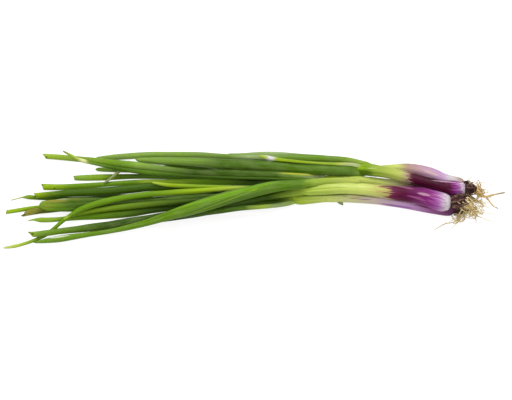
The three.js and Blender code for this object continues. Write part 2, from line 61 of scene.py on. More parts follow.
# Depths as shares of the widths, the least half width, how stiff the pieces are, and how finely
# their routes are measured. A leaf is thinner near its neck, over a run. For a shorter stretch
# it is held at a height of its own, spread over the neck.
SHAFT_DEPTH = 0.97
LEAF_DEPTH = 0.72
LEAST_HALF = 0.4
LEAST_MESH_HALF = 0.3
STIFFNESS = 0.02
ROUTE_PLACES = 201
NECK_DEPTH = 0.45
NECK_RUN = 45.0
NECK_HOLD = 28.0
NECK_SPREAD = 1.3

# Leaves: how fine the skin is, the wall at a cut end, the ribs, each (how many, height, turn),
# how much narrower the sides are, the lengths of the two waves with the second one's share,
# and how far the grain of the inside is from that of the outside
LEAF_COLUMNS = 40
LEAF_ROW_STEP = 1.6
BORE_ROWS = 12
LEAF_WALL = 0.7
LEAF_RIBS = ((10, 0.014, 0), (13, 0.01, 1))
LEAF_SIDES_IN = 0.04
WAVE_LENGTHS = (9.0, 5.3)
SECOND_WAVE = 0.7
INNER_GRAIN = 400

# The share of its width and of its depth that a leaf starts with, and where it is full grown.
# The runs over which a cut end and a crease set in, the least share that a bore leaves, the
# share of a flat run, from its end, where it is flattest, and a tip's least width, squared.
BASE_WIDTH = 0.7
BASE_DEPTH = 0.25
FULL_WIDTH_AT = 8.0
FULL_DEPTH_AT = 22.0
CUT_RUN = 4.0
CREASE_RUN = 15.0
LEAST_BORE = 0.15
FLATTEST_AT = 0.4
LEAST_TIP = 0.01

# Shafts: how fine the skin is, how much closer its rows are at the bulb, the bulb's domed end,
# the ribs, each (how many, height), and the turn of the second ones along the shaft. Then
# where a sheath sets in, how its edge falls and waves, the share of a groove's run, from its
# end, where it is deepest, how the neck narrows and flattens, and the least width, squared, at
# both ends.
SHAFT_COLUMNS = 96
SHAFT_ROWS = 190
ROW_CROWDING = 1.25
DOME = 5.0
SHAFT_RIBS = ((24, 0.007), (17, 0.006))
RIB_TURN = 30
SHEATH_START = (2, 10)
SHEATH_FALL = 0.9
SHEATH_WAVES = 7
SHEATH_WAVE = 0.5
DEEPEST_AT = 0.3
NECK_TAPER = 12.0
NECK_FLAT_RUN = 20.0
NECK_FLAT = 0.35
LEAST_DOME = 0.06
LEAST_NECK = 0.04

# The routes, the lowest piece first, each row u, v and half the width there
ROUTES = {
    "onion_5_shaft": [
        [368, 3, 2.6], [366.5, 3.2, 3.8], [361, 3.8, 4.8], [352, 5, 5], [336, 7.6, 4.6],
        [320, 11.2, 4.2], [304, 13.8, 3.8], [280, 15.9, 3.9], [256, 16.8, 3.7]],
    "onion_1_shaft": [
        [363.8, -9.3, 2.8], [362.4, -8.9, 4], [358, -7.6, 4.8], [344, -5.2, 4.9],
        [320, -1.2, 4.5], [296, 1.6, 4.4], [264, 2.8, 4.4], [240, 0.8, 4.6], [231, 0.2, 3.8]],
    "onion_4_shaft": [
        [371.8, 13, 2.6], [370.4, 13.2, 3.8], [365, 13.8, 4.6], [356, 16, 4.7], [344, 20.8, 5.1],
        [328, 24, 4.9], [316, 24.6, 4], [302, 24, 3.4], [291, 24, 2.6]],
    "onion_4_leaf_1": [
        [298, 25.6, 3], [288, 27.5, 2.6], [264, 33, 2.4], [240, 34.8, 2.4], [224, 36.2, 2.4],
        [210, 36.4, 2.4], [192, 36, 1.6], [182, 36.8, 0.7]],
    "onion_4_leaf_2": [
        [298, 25, 2.6], [284, 27.5, 2.2], [256, 29, 2.4], [208, 28.5, 2.6], [160, 26.5, 2.8],
        [120, 24.6, 2.8], [96, 24.4, 2.4], [80, 24.4, 1.7], [76, 24.6, 1.3]],
    "onion_3_shaft": [
        [372.7, 8.8, 3], [371.3, 8.8, 4.4], [367, 9, 5.8], [360.5, 9.3, 6], [352, 10.8, 5],
        [336, 15.3, 4.5], [320, 19.5, 4.6], [308, 22.2, 4.4], [296, 24.2, 5], [284, 25.6, 4.4]],
    "onion_3_leaf_1": [
        [300, 25.4, 3.4], [293, 27.8, 3], [286, 29.8, 2.8], [279, 31.3, 2.8], [272, 32.2, 2.8],
        [256, 33, 2.9], [240, 33.3, 2.9], [216, 33.8, 2.5], [196, 34.2, 2.2], [176, 35, 2.3],
        [160, 36, 2.5], [136, 36.2, 2.5], [120, 36.2, 2.5], [104, 35.2, 2.6], [90, 34.2, 2.3],
        [76, 33, 1.5]],
    "onion_3_leaf_2": [
        [296, 22.8, 4.6], [272, 23.7, 4.4], [240, 24.8, 4.4], [208, 27, 4.8], [192, 27.8, 4.8],
        [176, 28.6, 4.7], [160, 30.2, 3.7], [144, 30.8, 3.4], [128, 31.2, 3.2], [120, 31.6, 2.5],
        [112, 32, 2], [108, 32.4, 0.9]],
    "onion_3_leaf_3": [
        [292, 26, 2], [282, 28.4, 1.5], [272, 28.7, 1.3], [256, 29.4, 1.1], [240, 30.6, 1.2],
        [228, 31.8, 1.4], [220, 32.8, 1.7], [214, 34, 1.8], [207, 35.4, 0.6]],
    "onion_5_leaf_1": [
        [262, 16, 2.2], [240, 15.6, 1.8], [210, 16.4, 2], [184, 17.2, 2], [152, 18, 2],
        [120, 18.8, 2], [104, 18.8, 2.1], [80, 18, 2.6], [62, 17.6, 2.2], [58.5, 17.6, 1.8]],
    "onion_5_leaf_2": [
        [262, 14.8, 2], [232, 14, 1.8], [210, 13.8, 2.5], [184, 14.4, 2.9], [160, 14.8, 2.6],
        [136, 14.6, 2], [120, 14.8, 1.9], [104, 14, 2], [80, 12.2, 2.1], [64, 11, 2.4],
        [48, 10.2, 2.5], [32.8, 10.5, 2.6]],
    "onion_2_shaft": [
        [360.8, -2.6, 3.6], [359.6, -2.5, 5.2], [356, -2, 6.6], [350.5, -1.1, 7],
        [344, 1.3, 6.5], [336, 3.4, 6.1], [320, 5, 5.4], [308, 6.4, 4.8], [296, 8.2, 4.4],
        [280, 9.4, 4.3], [264, 8.8, 4.3], [246, 7.6, 4], [237, 7.4, 3.2]],
    "onion_5_leaf_3": [
        [262, 17, 1.6], [210, 18.6, 1.4], [160, 21, 1.4], [120, 25, 1.4], [102, 25.2, 1.4],
        [96, 23.4, 1.4], [90, 18.6, 1.2], [83, 13.4, 0.8]],
    "onion_5_leaf_4": [
        [262, 17.8, 2.4], [240, 19, 2.6], [224, 19.6, 3.2], [208, 20, 3.4], [192, 20.6, 3.4],
        [176, 21.2, 3.3], [160, 21.6, 2.8], [144, 23, 2.8], [132, 24.6, 2.8], [120, 26.2, 2.9],
        [108, 27.8, 3.1], [96, 29, 3], [80, 30.8, 2.8], [64, 32.6, 2.4], [48, 34.2, 2.3],
        [33.5, 35.2, 2.1]],
    "onion_5_leaf_5": [
        [262, 15.5, 1.4], [210, 17.2, 1], [176, 18, 1.2], [152, 19, 1.5], [136, 20.4, 1.7],
        [120, 21.8, 1.9], [104, 23.6, 1.8], [88, 26.4, 1.4], [80, 28, 1.3], [72, 29.8, 1.3],
        [67, 31.2, 1.7], [63, 32.6, 1.4], [58, 35, 1.2], [49.5, 39.6, 0.6]],
    "onion_1_leaf_1": [
        [238, 1, 2.2], [208, -1, 2], [160, -1.6, 2.4], [120, -1.4, 2.4], [80, -2.8, 2.4],
        [48, -4.8, 2.2], [24, -6.8, 1.8], [16, -8, 1.7], [4.5, -9.8, 1.6]],
    "onion_2_leaf_1": [
        [244, 5, 2], [208, 5, 1.8], [160, 6, 1.8], [104, 3.2, 1.8], [72, 1.4, 1.5], [48, 1, 1.5],
        [32, 1.6, 1.7], [19.5, 2.4, 1.5], [17.5, 2, 0.5], [8, -0.3, 0.35]],
    "onion_1_leaf_2": [
        [238, -0.5, 1.6], [200, -2.5, 1.5], [150, -3, 1.5], [100, -4, 1.6], [60, -6, 2],
        [48, -7.2, 2.4], [40, -7.8, 2.8], [32, -8.4, 2.8], [24, -9.8, 2.6], [16.5, -12.2, 1.6]],
    "onion_1_leaf_3": [
        [238, 1.4, 2.4], [208, 1.5, 2.2], [176, 3, 2.4], [152, 1.2, 3.1], [120, -0.4, 2.8],
        [96, -1.6, 3.4], [80, -2.4, 4.4], [68, -3.2, 5.6], [56, -3.8, 5.8], [44, -4.4, 4.8],
        [36, -4.2, 3.8], [31.5, -3.4, 2]],
    "onion_2_leaf_2": [
        [244, 7.5, 2.2], [208, 8, 2], [176, 8.4, 2.2], [152, 9.4, 2.4], [136, 9.9, 3],
        [120, 10.3, 3.4], [104, 8.8, 3.6], [88, 7.2, 3.5], [72, 6.2, 3.4], [56, 5.4, 3],
        [40, 4.4, 2.4], [27, 3.6, 2]],
    "onion_1_leaf_4": [
        [238, -0.4, 2.2], [208, -2.4, 2], [176, -4, 2.2], [152, -5.4, 2.4], [136, -6.4, 2.6],
        [120, -8, 3.1], [104, -10.5, 3.3], [80, -12.6, 3.1], [64, -13.8, 2.4], [48, -15.4, 1.9],
        [36, -16, 2], [28.5, -15.8, 1.6], [26, -15.8, 0.5], [22, -16.7, 0.35]],
    "onion_1_leaf_5": [
        [238, 1, 2], [208, 1, 1.8], [176, 1.6, 1.8], [152, -0.8, 1.9], [128, -2.6, 2.2],
        [104, -5, 2.5], [80, -7.8, 2.1], [64, -10.6, 1.6], [54, -13.4, 1.2], [49, -15, 0.7]],
    "onion_2_leaf_3": [
        [244, 8.5, 2], [210, 9.4, 1.8], [184, 9.8, 1.8], [172, 10.2, 1.8], [160, 10.6, 1.8],
        [148, 11.2, 1.7], [136, 11.8, 1.6], [128, 12.9, 1.3], [121, 14.2, 0.5]],
    "onion_2_leaf_4": [
        [244, 10, 2.2], [210, 9.8, 1.9], [188, 9.3, 1.8], [176, 8.6, 1.9], [160, 7.4, 2.2],
        [144, 6.4, 2.4], [132, 5.4, 2.4], [120, 4.6, 2.4], [108, 3.2, 2.4], [96, 1.4, 2.5],
        [84, -1.2, 2.6], [74, -4, 2.5], [64, -7.7, 2.2], [58, -11.2, 1.7], [53, -14.8, 1.6],
        [48, -18.8, 1.6], [43, -23.2, 1.6], [36, -28.4, 1.6], [28, -32, 1.4], [20, -34.8, 1.3],
        [11, -37.1, 1.4], [2.5, -38.3, 0.6]],
    "onion_1_leaf_6": [
        [238, 0, 3], [224, -2, 2.2], [210, -2.8, 2.2], [192, -4.6, 2.2], [176, -7.4, 2.6],
        [160, -10.6, 2.8], [140, -14, 2.4], [120, -17.5, 1.8], [104, -21.5, 1.2]],
    "onion_2_leaf_5": [
        [243, 6.4, 2.4], [228, 4.6, 2.4], [216, 2.8, 2.5], [200, -0.4, 2.5], [184, -4, 2.4],
        [168, -7.6, 2.2], [150, -11.4, 1.8], [134, -15, 1.2]],
    "onion_1_leaf_7": [
        [237, -1.5, 2], [224, -4, 1.8], [210, -5.4, 1.8], [192, -6.6, 2.1], [176, -8.6, 2.4],
        [160, -10.6, 2.4], [144, -11.6, 2.8], [132, -12.6, 3.1], [120, -14.6, 2.9],
        [104, -17.4, 3.4], [88, -20.4, 3.6], [72, -22.2, 3.3], [64, -23.2, 2.9], [48, -25, 2.5],
        [36, -26.6, 2.5], [28, -27.4, 2.3], [22.5, -27.2, 2]],
    "onion_2_leaf_6": [
        [288, 15.2, 1.8], [278, 15.6, 2.2], [264, 15.2, 2.7], [252, 14.2, 3.1], [241, 12.9, 3.6],
        [232, 12, 4], [216, 10, 4.8], [200, 6.2, 5], [184, 2.2, 5.4], [168, -2.6, 5.6],
        [152, -7.4, 5], [136, -12.2, 3.9], [120, -17.4, 2.9], [104, -21.6, 2.4], [88, -25, 1.9],
        [72, -27.4, 2], [56, -29.8, 2.6], [48, -31, 2.8], [40, -32.2, 2.2], [33, -33.2, 1.4],
        [27, -34, 0.6]],
}


def is_shaft(name):
    """Whether a piece is a shaft, and not a leaf."""
    return name.endswith("shaft")


def rise(x, low, high):
    """The smooth step: 0 below low, 1 above high, and 3t^2 - 2t^3 between them."""
    t = np.clip((x - low) / (high - low), 0, 1)
    return t * t * (3 - 2 * t)


def in_space(u, v, lift):
    """A point of the plane, lifted off it, in metres: middle + u along + v up + lift out."""
    u, v, lift = (np.asarray(x, float)[..., None] for x in (u, v, lift))
    return MM * (BUNCH_MIDDLE + u * ALONG + v * UP_THE_PLANE + lift * OUT_OF_PLANE)


def smooth_route(rows, places):
    """The curve through the rows, where place k is row k. Each stretch is a cubic. Its slopes
    come from the chords round it, each weighed by the square root of its length."""
    rows = np.asarray(rows, float)
    ends = np.vstack([2 * rows[0] - rows[1], rows, 2 * rows[-1] - rows[-2]])
    stretch = np.clip(places.astype(int), 0, len(rows) - 2)
    t = (places - stretch)[:, None]
    p0, p1, p2, p3 = (ends[stretch + k] for k in range(4))
    d0, d1, d2 = (
        np.linalg.norm(b - a, axis=1, keepdims=True) ** 0.5
        for a, b in ((p0, p1), (p1, p2), (p2, p3)))
    slope_1 = ((p1 - p0) / d0 - (p2 - p0) / (d0 + d1) + (p2 - p1) / d1) * d1
    slope_2 = ((p2 - p1) / d1 - (p3 - p1) / (d1 + d2) + (p3 - p2) / d2) * d1
    bend = -3 * p1 + 3 * p2 - 2 * slope_1 - slope_2
    twist = 2 * p1 - 2 * p2 + slope_1 + slope_2
    return p1 + slope_1 * t + bend * t ** 2 + twist * t ** 3


def evenly_along(rows, step):
    """Points at even distances along the curve through the rows, and those distances."""
    places = np.linspace(0, len(rows) - 1, ROUTE_PLACES)
    points = smooth_route(rows, places)
    lengths = np.linalg.norm(np.diff(points, axis=0), axis=1)
    gone = np.concatenate([[0], np.cumsum(lengths)])
    wanted = np.linspace(0, gone[-1], round(gone[-1] / step) + 1)
    return smooth_route(rows, np.interp(wanted, gone, places)), wanted


class Piece:
    """A shaft or leaf laid on the ones before it: u, v, lift, half width and half depth at even
    distances s along it."""

    def __init__(self, name):
        self.name = name
        points, self.s = evenly_along(ROUTES[name], LAY_STEP)
        self.u, self.v, half = points.T
        self.half = np.maximum(half, LEAST_HALF)
        thin = NECK_DEPTH + (1 - NECK_DEPTH) * rise(self.s, 0, NECK_RUN)
        leaf_depth = np.maximum(self.half * LEAF_DEPTH * thin, LEAST_HALF)
        self.depth = self.half * SHAFT_DEPTH if is_shaft(name) else leaf_depth
        self.lift = np.zeros(len(self.s))

    def over_surface(self, sink):
        """The lift at which the tilted oval section just touches the surface: its reach down
        is the length of (half cos lean, depth sin lean), turned with the route."""
        ahead = np.minimum(np.arange(len(self.s)) + 1, len(self.s) - 1)
        behind = np.maximum(np.arange(len(self.s)) - 1, 0)
        du = self.u[ahead] - self.u[behind]
        dv = self.v[ahead] - self.v[behind]
        sideways = self.half * du / np.hypot(du, dv) * math.cos(LEAN)
        reach = np.hypot(sideways, self.depth * math.sin(LEAN))
        return (reach - sink - self.v * math.cos(LEAN)) / math.sin(LEAN)

    def over(self, other):
        """The lift at which the section clears the nearest place of another piece: the two
        depths shrink with the distance between the routes, as on an oval."""
        a = np.column_stack([other.u, other.v])
        chord = np.diff(a, axis=0)
        at = np.column_stack([self.u, self.v])[:, None, :]
        share = np.clip(((at - a[:-1]) * chord).sum(2) / (chord ** 2).sum(1), 0, 1)
        away = np.linalg.norm(a[:-1] + share[..., None] * chord - at, axis=2)
        near = away.argmin(1)
        rows = np.arange(len(near))
        place = near + share[rows, near]
        stations = np.arange(len(other.s))
        half, depth, lift = (
            np.interp(place, stations, x) for x in (other.half, other.depth, other.lift))
        apart = away[rows, near] / (self.half + half)
        fall = np.sqrt(np.clip(1 - apart ** 2, 0, 1))
        return np.where(apart < 1, lift + (self.depth + depth) * fall + LAY_GAP, -np.inf)

    def lay(self, laid, neck):
        """Rests the piece on the surface and on those before it, bent no tighter than its
        stiffness lets it, and for a leaf blends it into its neck's height."""
        leaf = not is_shaft(self.name)
        least = self.over_surface(0 if leaf else REST_FLAT)
        for other in laid:
            least = np.maximum(least, self.over(other))
        away = self.s[:, None] - self.s
        lifts = (least - STIFFNESS * away ** 2 / 2).max(1)
        for _ in range(RELAX_ROUNDS):
            padded = np.pad(lifts, 1, mode="edge")
            lifts = np.maximum(least, (padded[:-2] + 2 * lifts + padded[2:]) / 4)
        hold = (1 - rise(self.s, 0, NECK_HOLD)) * leaf
        self.lift = lifts + (neck - lifts) * hold

    def at(self, s):
        """Centre in metres, half width and half depth in millimetres at any distances s."""
        rows = np.column_stack([self.u, self.v, self.lift, self.half, self.depth])
        places = np.clip(s / self.s[-1], 0, 1).ravel() * (len(self.s) - 1)
        u, v, lift, half, depth = smooth_route(rows, places).T
        half, depth = (
            np.maximum(x, LEAST_MESH_HALF).reshape(s.shape) for x in (half, depth))
        return in_space(u, v, lift).reshape(*s.shape, 3), half, depth

    def frame_at(self, s):
        """Unit vectors at distances s: heading, side (up the plane) and out of the plane."""
        ahead = self.at(np.clip(s + 1, 0, self.s[-1]))[0]
        heading = ahead - self.at(np.clip(s - 1, 0, self.s[-1]))[0]
        heading /= np.linalg.norm(heading, axis=-1, keepdims=True)
        side = np.cross(heading, OUT_OF_PLANE)
        side /= np.linalg.norm(side, axis=-1, keepdims=True)
        return heading, side, np.cross(side, heading)


def lay_bunch():
    """Lays the pieces in order. A leaf leaves its neck at a height of its own in the neck."""
    laid = {}
    for name in ROUTES:
        piece = Piece(name)
        if is_shaft(name):
            piece.lay(list(laid.values()), 0)
        else:
            onion = name.split("_leaf_")[0]
            own = laid[onion + "_shaft"]
            siblings = [other for other in ROUTES if other.startswith(onion + "_leaf_")]
            share = (siblings.index(name) + 0.5) / len(siblings)
            neck = own.lift[-1] + NECK_SPREAD * own.half[-1] * (share - 0.5)
            piece.lay([other for other in laid.values() if other is not own], neck)
        laid[name] = piece
    return laid


BUNCH = lay_bunch()


def skin(name, points, grain):
    """A closed skin over a grid of points, rows by columns: quads between the rows, wrapped
    round the columns, and a fan to the middle of the first and last row. Faces look outwards
    where the rows run along the heading and the columns from side to out. grain is kept as an
    attribute for the material."""
    rows, columns = points.shape[:2]
    index = np.arange(rows * columns).reshape(rows, columns)
    beside = np.roll(index, -1, axis=1)
    quads = np.stack([index[:-1], index[1:], beside[1:], beside[:-1]], axis=-1).reshape(-1, 4)
    first = np.full(columns, rows * columns)
    start = np.stack([first, index[0], beside[0]], axis=-1)
    close = np.stack([first + 1, beside[-1], index[-1]], axis=-1)
    triangles = np.concatenate([start, close])
    corners = np.concatenate([quads.ravel(), triangles.ravel()])
    sizes = np.concatenate([np.full(len(quads), 4), np.full(len(triangles), 3)])
    places, grains = (
        np.vstack([x.reshape(-1, 3), x[0].mean(0), x[-1].mean(0)]) for x in (points, grain))
    return fill_mesh(name, places, corners, sizes, grains)


def fill_mesh(name, places, corners, sizes, grains):
    """A mesh object from its points, the corners of all its faces in turn, and their sizes.
    What would sink into the surface lies flat on it."""
    mesh = bpy.data.meshes.new(name)
    places[:, 2] = np.maximum(places[:, 2], 0)
    mesh.vertices.add(len(places))
    mesh.vertices.foreach_set("co", places.astype(np.float32).ravel())
    mesh.loops.add(len(corners))
    mesh.loops.foreach_set("vertex_index", corners.astype(np.int32))
    mesh.polygons.add(len(sizes))
    mesh.polygons.foreach_set("loop_start", (np.cumsum(sizes) - sizes).astype(np.int32))
    mesh.update(calc_edges=True)
    mesh.polygons.foreach_set("use_smooth", np.ones(len(sizes), bool))
    attribute = mesh.attributes.new("grain", "FLOAT_VECTOR", "POINT")
    attribute.data.foreach_set("vector", grains.astype(np.float32).ravel())
    piece = bpy.data.objects.new(name, mesh)
    bpy.context.collection.objects.link(piece)
    return piece


# Leaves

def cut_edge(a, cut, notches, ragged):
    """How far the edge of a leaf's end lies from the end at each angle a: a slant of cut times
    half of 1 - cos a, back by each notch, and by ragged sines. The furthest place is at 0."""
    edge = -abs(cut) * (1 - np.sign(cut) * np.cos(a)) / 2
    for angle, width, depth in notches:
        apart = np.abs((a - angle + math.pi) % TURN - math.pi)
        edge = edge - depth * np.clip(1 - apart / width, 0, 1)
    edge = edge + ragged * (np.sin(5 * a) + 0.6 * np.sin(11 * a + 1) + 0.4 * np.sin(17 * a + 2))
    return edge - edge.max()


def leaf_piece(name, cut=0.0, notches=(), ragged=0.0, bore=0.0, creases=(), wave=0.0, flat=None):
    """A leaf's skin. The outer wall is centre + side half cos a + out depth sin a, swollen by
    ribs, small cosines of many turns of a, and by waves with s, and thinner where it grows out
    of its neck. A crease is a groove over the upper side, and flat thins the leaf towards its
    end. Where there is a bore, the skin goes over the rim, a wall's thickness in, and back down
    to the bore's floor. Otherwise the leaf ends in a rounded tip."""
    piece = BUNCH[name]
    total = piece.s[-1]
    rows = round(total / LEAF_ROW_STEP)
    a = np.linspace(0, TURN, LEAF_COLUMNS, endpoint=False)
    edge = cut_edge(a, cut, notches, ragged)
    s = np.linspace(0, total, rows)[:, None]
    s = s + edge * rise(s, total - CUT_RUN - 2 * np.ptp(edge), total)
    inner = np.zeros_like(s)
    if bore:
        back = np.linspace(0, 1, BORE_ROWS)[:, None]
        s = np.vstack([s, s[-1:] + (total - bore - s[-1:]) * back])
        inner = np.vstack([inner, np.ones((BORE_ROWS, LEAF_COLUMNS))])
    centre, half, depth = piece.at(s)
    _, side, out = piece.frame_at(s)
    ribs = sum(height * np.cos(count * a + turn) for count, height, turn in LEAF_RIBS)
    long, short = WAVE_LENGTHS
    waves = wave * (np.sin(s / long + rows) + SECOND_WAVE * np.sin(s / short + 2 * a))
    swell = (1 + ribs + waves) * (1 - LEAF_SIDES_IN * np.cos(2 * a))
    if not bore:
        blunt = np.maximum(half[-1].mean(), 1)
        round_tip = np.clip(1 - rise(s, total - blunt, total) ** 2, LEAST_TIP, 1)
        swell = swell * np.sqrt(round_tip)
    across = half * swell * (BASE_WIDTH + (1 - BASE_WIDTH) * rise(s, 0, FULL_WIDTH_AT))
    deep = depth * swell * (BASE_DEPTH + (1 - BASE_DEPTH) * rise(s, 0, FULL_DEPTH_AT))
    across = np.maximum(across - inner * LEAF_WALL, LEAST_BORE * half)
    deep = np.maximum(deep - inner * LEAF_WALL, LEAST_BORE * depth)
    if flat:
        start, share = flat
        deep = deep * (1 - share * rise(s, total - start, total - FLATTEST_AT * start))
    for start, end, share, width, sunk in creases:
        top = np.exp(-((np.cos(a) - share) / width) ** 2) * (np.sin(a) > 0)
        begun = rise(s, start, start + CREASE_RUN)
        deep = deep - sunk * top * begun * (1 - rise(s, end - CREASE_RUN, end))
    x = (across * np.cos(a))[..., None]
    y = (deep * np.sin(a))[..., None]
    points = centre + MM * (x * side + y * out)
    grain = np.concatenate([(s + INNER_GRAIN * inner)[..., None], x, y], axis=-1)
    return skin(name + "_skin", points, grain)


# Shafts

def shaft_piece(name, sheaths, grooves=()):
    """A shaft's skin: centre + side r cos a + out r sin a, where r is the half width with
    fine ribs. Each sheath ends along the shaft at its own place, on a slant, and thickens
    the shaft up to there. Grooves run down from the neck between the leaves' bases, and the
    neck thins to where the leaves part."""
    piece = BUNCH[name]
    total = piece.s[-1]
    a = np.linspace(0, TURN, SHAFT_COLUMNS, endpoint=False)
    s = total * (np.linspace(0, 1, SHAFT_ROWS) ** ROW_CROWDING)[:, None] + 0 * a
    centre, half, depth = piece.at(s)
    _, side, out = piece.frame_at(s)
    (fine, low), (coarse, high) = SHAFT_RIBS
    swell = 1 + low * np.cos(fine * a) + high * np.cos(coarse * a + s / RIB_TURN)
    for angle, width, sunk, run in grooves:
        apart = (a - angle + math.pi) % TURN - math.pi
        begun = rise(s, total - run, total - DEEPEST_AT * run)
        swell = swell - sunk * np.exp(-((apart / width) ** 2)) * begun
    thick = 0 * s
    for place, slant, angle, step in sheaths:
        edge = place + slant * np.cos(a - angle) + SHEATH_WAVE * np.sin(SHEATH_WAVES * a)
        thick = thick + step * (1 - rise(s, edge, edge + SHEATH_FALL)) * rise(s, *SHEATH_START)
    dome = np.sqrt(np.clip(1 - (1 - np.clip(s / DOME, 0, 1)) ** 2, LEAST_DOME, 1))
    bulb = piece.at(np.array([DOME]))[1]
    half = np.where(s < DOME, bulb, half)
    depth = np.where(s < DOME, bulb * SHAFT_DEPTH, depth)
    narrow = np.clip(1 - rise(s, total - NECK_TAPER, total) ** 2, LEAST_NECK, 1)
    tip = dome * np.sqrt(narrow)
    shallow = tip * (1 - NECK_FLAT * rise(s, total - NECK_FLAT_RUN, total))
    x = ((half * swell + thick) * tip * np.cos(a))[..., None]
    y = ((depth * swell + thick) * shallow * np.sin(a))[..., None]
    points = centre + MM * (x * side + y * out)
    grain = np.concatenate([s[..., None], x, y], axis=-1)
    return skin(name + "_skin", points, grain)


# Roots

# How many sides and steps a root has, a way askew to the roots that squares their sides, the
# seed of all draws, the bounds of the half widths of roots and shreds, how high they stay over
# the surface, and their grain: from end to end, and from one root to the next
ROOT_SIDES = 5
ROOT_STEPS = 44
ASKEW = (0.31, 0.22, 0.92)
ROOT_SEED = 23
ROOT_HALVES = (0.3, 0.58)
SHRED_HALVES = (0.3, 0.85)
LEAST_HEIGHT = 0.7
ROOT_GRAIN = 30.0
NEXT_GRAIN = 0.37

# What is drawn for each root, between two bounds: where on the knob it starts, how hard it is
# pushed outward and ahead, how far from the middle it may stray, its length as a share of the
# tangle, and how tightly and how often it turns. Then for each shred, its length as a share of
# the knob's and where it ends, as a share of the knob's half width.
ROOT_STARTS = (0.3, 0.95)
PUSHES_OUT = (0.4, 1.3)
PUSHES_AHEAD = (0.2, 1.0)
ROOM = (0.5, 1.1)
ROOT_LENGTHS = (1.4, 4.0)
ROOT_CURLS = (2, 10)
BEATS = (0.15, 0.4)
SHRED_LENGTHS = (0.4, 1.1)
SHRED_ENDS = (0.5, 1.2)

# The ring on which roots start: its share of the knob's half width, and where it would close,
# as a share of the knob's length. How much more a root turns one way than the other, its
# steepest start, how far the tangle reaches out of the plane, the share of its reach beyond
# which a root is drawn back, and how strongly. The ring on which shreds start, and how far they
# bow outward.
ROOT_RING = 0.8
RING_CLOSES = 1.1
DRIFT = 0.3
STEEPEST = 0.45
TANGLE_DEPTH = 5.0
PULL_FROM = 0.7
PULL = 0.4
SHRED_RING = 0.85
SHRED_BOW = 1.4

# Each knob: its length, its swell and how steeply it turns up the plane
KNOBS = {
    1: (13.0, 1.1, 0.45),
    2: (14.0, 1.0, 0.4),
    3: (10.0, 1.2, 0.0),
    4: (6.0, 1.0, -0.3),
    5: (9.0, 1.2, 0.0),
}

# How fine a knob is, its radius, as a share of the shaft's end, at shares of its length, how
# far it sinks into the shaft, and how far into the shaft its heading is taken. Then how far
# along it the stray roots begin, and how high over the surface they end.
KNOB_ROWS = 28
KNOB_COLUMNS = 32
KNOB_OUTLINE = ([0, 0.1, 0.3, 0.6, 0.9, 1], [0.8, 0.95, 1.05, 0.95, 0.65, 0.3])
KNOB_SUNK = 1.0
KNOB_LOOK_BACK = 6.0
STRAY_START = 4.0
STRAY_HEIGHT = 0.6

# Each tangle: its middle on the plane and its height, how far it reaches along the bunch and
# up the plane, and how many roots and how many dry shreds of skin it has
TANGLES = {
    1: ((366, -13.5, 3.5), (9, 4), 18, 8),
    2: ((377, -7.5, 8.5), (14, 6.5), 38, 26),
    3: ((382, 7.5, 10), (4.5, 10), 30, 12),
    4: ((378, 14.5, 14), (4.5, 3.5), 12, 4),
    5: ((384, -2.5, 6), (9, 6), 16, 4),
}

# Roots that stray from the tangle, by onion: the half width and the route on the plane
STRAY_ROOTS = {
    1: [(0.6, [[369, -13], [364, -17.4], [356, -19], [347, -24]]),
        (0.3, [[371, -12], [368, -16], [364, -20], [359, -25]])],
    2: [(0.4, [[370, -8], [380, -12], [390, -16], [395, -17.4]]),
        (0.22, [[372, -5], [386, -10], [398, -11], [406, -13.6]])],
    3: [(1.15, [[380, 6], [388, 2.6], [395, 4.2], [404, 6]]),
        (0.75, [[386.5, 4], [390.5, 0.5], [394.5, -4.5], [398.5, -6.8]])],
    4: [(0.22, [[374, 15], [377, 18], [379, 20.5]]),
        (0.2, [[380, 13], [388, 14], [396, 11.5]])],
}


def root_end(shaft):
    """Where a shaft's roots begin, the way they head, and the half width there, in mm."""
    piece = BUNCH[shaft]
    here, half, _ = piece.at(np.array([0.0]))
    inside = piece.at(np.array([KNOB_LOOK_BACK]))[0]
    heading = (here - inside)[0]
    return here[0] / MM, heading / np.linalg.norm(heading), half[0]


def knob_piece(name, end, heading, half, length, swell):
    """A lumpy knob: rings along the heading whose radius swells and narrows, dented by sines."""
    t = np.linspace(0, 1, KNOB_ROWS)[:, None]
    a = np.linspace(0, TURN, KNOB_COLUMNS, endpoint=False)
    side = np.cross(heading, OUT_OF_PLANE)
    side /= np.linalg.norm(side)
    out = np.cross(side, heading)
    outline = np.interp(t, *KNOB_OUTLINE)
    lumps = 1 + 0.08 * np.sin(5 * a + 9 * t) + 0.06 * np.sin(9 * a - 14 * t)
    lumps = lumps + 0.04 * np.sin(23 * t)
    radius = half * swell * outline * lumps
    middle = end + heading * (t * length - KNOB_SUNK)[..., None]
    x = (radius * np.cos(a))[..., None]
    y = (radius * np.sin(a))[..., None]
    points = middle + x * side + y * out
    grain = np.concatenate([t[..., None] * length + 0 * x, x, y], axis=-1)
    return skin(name, MM * points, grain)


